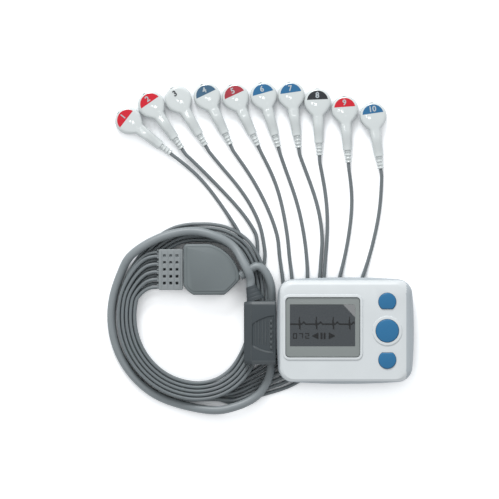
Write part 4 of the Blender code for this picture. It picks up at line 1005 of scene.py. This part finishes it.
def plugRings():
    # chamfered along both sides, sloping down to the back
    width = plug["high"] - plug["low"]
    y = (plug["high"] + plug["low"]) / 2
    side = plug["chamfer"]
    stations = [(plug["back"] + x, *less) for x, *less in plug["back rings"]]
    stations += [(plug["face"] + x, *less) for x, *less in plug["face rings"]]
    rings = []
    for x, wide, tall in stations:
        w, h = (width + wide) / 2, (plug["height"] + tall) / 2
        outline = []
        for sx, sy in ((1, 1), (-1, 1), (-1, -1), (1, -1)):
            corner = [(w, h - side * 0.75), (w - side * 0.25, h - side * 0.4), (w - side * 0.85, h - side * 0.06),
                      (w - side * 1.2, h)]
            outline += [(sx * u, sy * v) for u, v in (corner if sx * sy > 0 else reversed(corner))]
        rings.append([(x, y + u, plug["middle"] + v) for u, v in outline])
    return rings


def gripOutline(inset):
    # the grip's recess, with a curved lower edge
    left, right, low = plug["grip"]
    left, right = left + inset, right - inset
    points = [(right, 8.6 * mm - inset), (right - 3.5 * mm, 8.2 * mm - inset), (left + 4.5 * mm, 6.4 * mm - inset),
              (left + 1.5 * mm, 4.8 * mm - inset), (left, 3.4 * mm - inset)]
    for step in range(9):
        share = step / 8
        points.append((left + (right - left) * share, low + inset - 4.2 * mm * math.sin(quarter * share) ** 0.8))
    return points


def plugCover():
    floorOfCut = plugTop - plug["recess"]
    cut = loft(stack(gripOutline, ((0.3 * mm, floorOfCut), (0.0, floorOfCut + 0.3 * mm),
                                   (-0.25 * mm, plugTop + 0.2 * mm))))
    piece = keep("plugCover", carve(loft(plugRings()), [cut]), "plug", instead=("plug_cover",), sharp=28)
    # paler along both chamfered ends, on faces turned upward
    repaint(piece, "plugEdge", lambda at, way: min(plug["high"] - at.y, at.y - plug["low"]) < 2.3 * mm
            and way.z > 0.15 and at.x > plug["back"] + plug["slope"])


def gripRows():
    base = plugTop - plug["recess"]
    x, length, radius, step = plug["ridge"]
    low = plug["grip"][2]
    grown("gripRidges", rod(straight((x, low, base), (x, low + length, base), 9), radius, 0.45), "row", "plugEdge",
          Count=5, Step=(step, 0.0, 0.0))
    # rolled lip round the grip's lower edge
    path = [Vector((x - 0.1 * mm, y - 0.3 * mm, plugTop - 0.65 * mm)) for x, y in gripOutline(0.0)[5:]]
    keep("gripLip", rod(path, plug["lip"], 0.4, 12), "plugEdge")
    x, y, across, tall, step = plug["nub"]
    nub = pad(lambda inset: roundedRect(across - 2 * inset, tall - 2 * inset, 0.4 * mm - inset * 0.5, (x, y), 3),
              base - 0.2 * mm, base + 0.6 * mm, 0.3 * mm, 3)
    grown("gripNubs", nub, "row", "plugEdge", Count=6, Step=(0.0, step, 0.0))
    x, low, high, radius = plug["bar"]
    height = plugTop - 0.05 * mm
    keep("plugRidge", rod(straight((x, low, height), (x, high, height), 9), radius, 0.5), "plugEdge")


def taperedBoot(name, stations, finish, instead, grooves=3, depth=0.11):
    # centre, half width and half height along a boot, with round grooves pressed into it
    rings = []
    count = 40
    for i in range(count + 1):
        t = i / count * (len(stations) - 1)
        j = min(int(t), len(stations) - 2)
        here, there = stations[j], stations[j + 1]
        wide, tall = (here[k] + (there[k] - here[k]) * (t - j) for k in (1, 2))
        ahead = (there[0] - here[0]).normalized()
        side = Vector((ahead.y, -ahead.x, 0.0)).normalized()
        over = side.cross(ahead)
        wave = 1 - depth * max(math.sin(math.pi * 2 * grooves * i / count), 0) ** 2
        end = 1 - 0.12 * (i == 0 or i == count)
        rings.append([here[0].lerp(there[0], t - j) + (side * math.cos(a) * abs(math.cos(a)) ** -0.15 * wide
                                                       + over * math.sin(a) * abs(math.sin(a)) ** -0.15 * tall)
                      * wave * end for a in [2 * math.pi * (k + 0.5) / 32 for k in range(32)]])
    return keep(name, loft(rings), finish, instead=instead, sharp=50)


yoke = sized({"place": (-92.2, 20.3, 32.0, 29.1), "height": 12.4, "edge": 1.3})
comb = sized({"place": (-106.4, 23.1, 13.9, 23.3), "levels": (4.6, 9.5), "edge": 0.5, "pitch": (3.6, 3.9),
              "rib": (1.75, 1.0, 0.3, 3.47), "finger": 2.19})
# share of the width that each corner's radius takes, and how much flatter than a round it is
yokeCorners = ((1, 1, 0.6, 0.3), (-1, 1, 0.08, 0.0), (-1, -1, 0.2, 0.6), (1, -1, 0.3, 0.85))


def yokeOutline(inset):
    points = []
    left, low, length, width = yoke["place"]
    for turn, (sx, sy, share, flat) in enumerate(yokeCorners):
        radius = share * width
        x = left + length - radius if sx > 0 else left + radius
        y = low + width - radius if sy > 0 else low + radius
        for step in range(13):
            first, angle, last = (quarter * (turn + part) for part in (0, step / 12, 1))
            way = [wave(angle) * (1 - flat) + (wave(first) * (12 - step) + wave(last) * step) / 12 * flat
                   for wave in (math.cos, math.sin)]
            points.append((x + (radius - inset) * way[0], y + (radius - inset) * way[1]))
    return points


def yokeShells():
    base, top = floorLevel, floorLevel + yoke["height"]
    for name, node, outer, sign in (("yokeLower", "yoke_bottom", base, 1), ("yokeUpper", "yoke_top", top, -1)):
        edge = (base + top) / 2 - sign * gap / 2
        steps = []
        if sign < 0:  # a shallow step round the upper face, as a lid has
            steps = [(2.3 * mm, outer), (2.1 * mm, outer - 0.1 * mm), (2.0 * mm, outer - 0.4 * mm)]
            outer -= 0.4 * mm
        rings = stack(yokeOutline, steps) + edgeRings(yokeOutline, outer, yoke["edge"], 6, sign)
        rings += stack(yokeOutline, ((0.0, edge - sign * 0.25 * mm), (0.25 * mm, edge), (1.6 * mm, edge),
                                     (1.8 * mm, outer + sign * 2.2 * mm)))
        keep(name, loft(rings), "yoke", instead=(node,), sharp=30)


def yokeComb():
    left, low, length, width = comb["place"]
    base, top = (floorLevel + height for height in comb["levels"])
    middle = (left + length / 2, low + width / 2)

    def outline(inset):
        return roundedRect(length - 2 * inset, width - 2 * inset, 0.9 * mm - inset * 0.5, middle, 5)

    rings = edgeRings(outline, base, comb["edge"], 4) + edgeRings(outline, top, comb["edge"], 4, -1)[::-1]
    holes = []
    for column in range(3):
        for row in range(5):
            place = (middle[0] + comb["pitch"][0] * (column - 1), middle[1] + comb["pitch"][1] * (row - 2))
            holes.append(loft(stack(lambda wide: roundedRect(wide * mm, wide * mm, 0.35 * mm, place, 3), (
                (1.55, base - mm), (1.55, top - 0.25 * mm), (2.1, top + 0.02 * mm), (2.1, top + mm)))))
    keep("combBlock", carve(loft(rings), holes), "comb", instead=("yoke_comb",), sharp=30)
    # ribs between the rows of holes, and the split fingers where the wires leave
    x, end, radius, step = comb["rib"]
    path = straight((left + x, low + end, top), (left + x, low + width - end, top), 7)
    grown("combRibs", rod(path, radius, 0.5), "row", "comb", Count=4, Step=(step, 0.0, 0.0))
    finger = block((left - 0.9 * mm, low + 0.5 * mm, base + 0.4 * mm),
                   (left + 0.3 * mm, low + 1.2 * mm, top - 0.5 * mm))
    bmesh.ops.bevel(finger, geom=finger.edges, offset=0.15 * mm, segments=2, affect="EDGES")
    grown("combFingers", finger, "row", "comb", Count=11, Step=(0.0, comb["finger"], 0.0))


def bootEnds():
    # strain reliefs of the ten snap heads: a core with rings
    edges = bmesh.new()
    core = ((0.0, 1.15), (0.3, 1.4), (2.0, 1.45), (4.0, 1.5), (6.0, 1.6), (7.6, 1.75))
    for number in heads:
        end, axis = headFrame(number)[:2]
        centre = Vector((end.x, end.y, bed + 2.0 * mm))
        path = [centre + axis * along * mm for along, radius in core]
        headPieces[number].append(keep("headBoot%d" % number, loft(tubeRings(path, lambda i: core[i][1] * mm, 20)),
                                       "head", sharp=60))
        edges.edges.new([edges.verts.new(centre + axis * along * mm) for along in (0.55, 6.3)])
    grown("bootRings", edges, "rings", "head", sharp=80, Count=4, Ring_Radius=1.45 * mm, Ring_Thickness=0.5 * mm)


def snapSockets():
    # sprung metal cup under every disc
    for number in heads:
        end, axis = headFrame(number)[:2]
        centre = end + axis * head["centre"]
        shape = turned(centre[:2], ((2.2, 0.5), (2.2, 0.0), (3.2, -0.1), (3.6, 0.0), (3.6, 0.6)), 32, bed)
        headPieces[number].append(keep("snapSocket%d" % number, shape, "steel", sharp=30))


def cableBoots():
    start = Vector((-59.9 * mm, 31.0 * mm, floorLevel + 9.3 * mm))
    end = trunkLine[0].lerp(trunkLine[1], 0.9)
    stations = [(start.lerp(end, share), radius * mm, radius * mm)
                for share, radius in ((0.0, 2.6), (0.5, 2.45), (1.0, 2.15))]
    taperedBoot("yokeBoot", stations, "trunk", ("yoke_boot",))
    stations = [(Vector((x * mm, y * mm, plug["middle"])), w * mm, h * mm) for x, y, w, h in
                ((-51.0, 17.2, 5.3, 3.9), (-52.2, 20.9, 4.2, 3.5), (-53.7, 25.4, 2.9, 2.9))]
    taperedBoot("plugBoot", stations, "plug", ("plug_boot",), grooves=4, depth=0.03)


plugCover()
gripRows()
yokeShells()
yokeComb()
cableBoots()
bootEnds()
snapSockets()

print("stage: screws, inner parts and their materials")


def caseScrews():
    # one cross-head screw, repeated over the four bosses by the row tree
    profile = ((1.7, -10.15), (1.95, -9.95), (2.0, -9.7), (2.0, -8.75), (1.1, -8.75), (1.1, 6.2), (0.6, 6.25))
    shape = turned((0.0, 0.0), profile, 24)
    for x, y in ((1.1 * mm, 0.22 * mm), (0.22 * mm, 1.1 * mm)):
        shape = carve(shape, [block((-x, -y, -11 * mm), (x, y, -9.4 * mm))])
    first, second = case["bosses"][1], case["bosses"][3]
    bmesh.ops.translate(shape, verts=shape.verts, vec=(*first, 0.0))
    pair = grown("screwPair", shape, "row", "steel", None, Count=2, Step=(second[0] - first[0], 0.0, 0.0))
    both = bmesh.new()
    both.from_mesh(pair.data)
    bpy.data.objects.remove(pair)
    grown("caseScrews", both, "row", "steel", "recorder", tuple("case_screw_%d" % i for i in range(1, 5)), 30,
          Count=2, Step=(0.0, -2 * first[1], 0.0))


def doorGrip():
    x, y, height = bay["x"], -22.0 * mm, caseBottom + 0.05 * mm
    path = straight((x - 4 * mm, y, height), (x + 4 * mm, y, height), 7)
    grown("doorGrip", rod(path, 0.3 * mm, 0.5), "row", "case", "battery_door", Count=6, Step=(0.0, 1.3 * mm, 0.0))


caseScrews()
doorGrip()
innerFinishes = {
    "case_gasket": "seal", "lcd_panel": "screen", "display_frame": "steel", "circuit_board": "laminate",
    "keypad_mat": "seal", "battery": "jacket", "battery_spring": "steel", "battery_contact": "steel",
    "memory_card": "black", "card_socket": "steel", "lead_socket": "plug", "plug_contacts": "comb",
}
for name, finish in innerFinishes.items():
    node = bpy.data.objects[name]
    for slot in node.material_slots:
        slot.material = finishes[finish]
    if not node.material_slots:
        node.data.materials.append(finishes[finish])
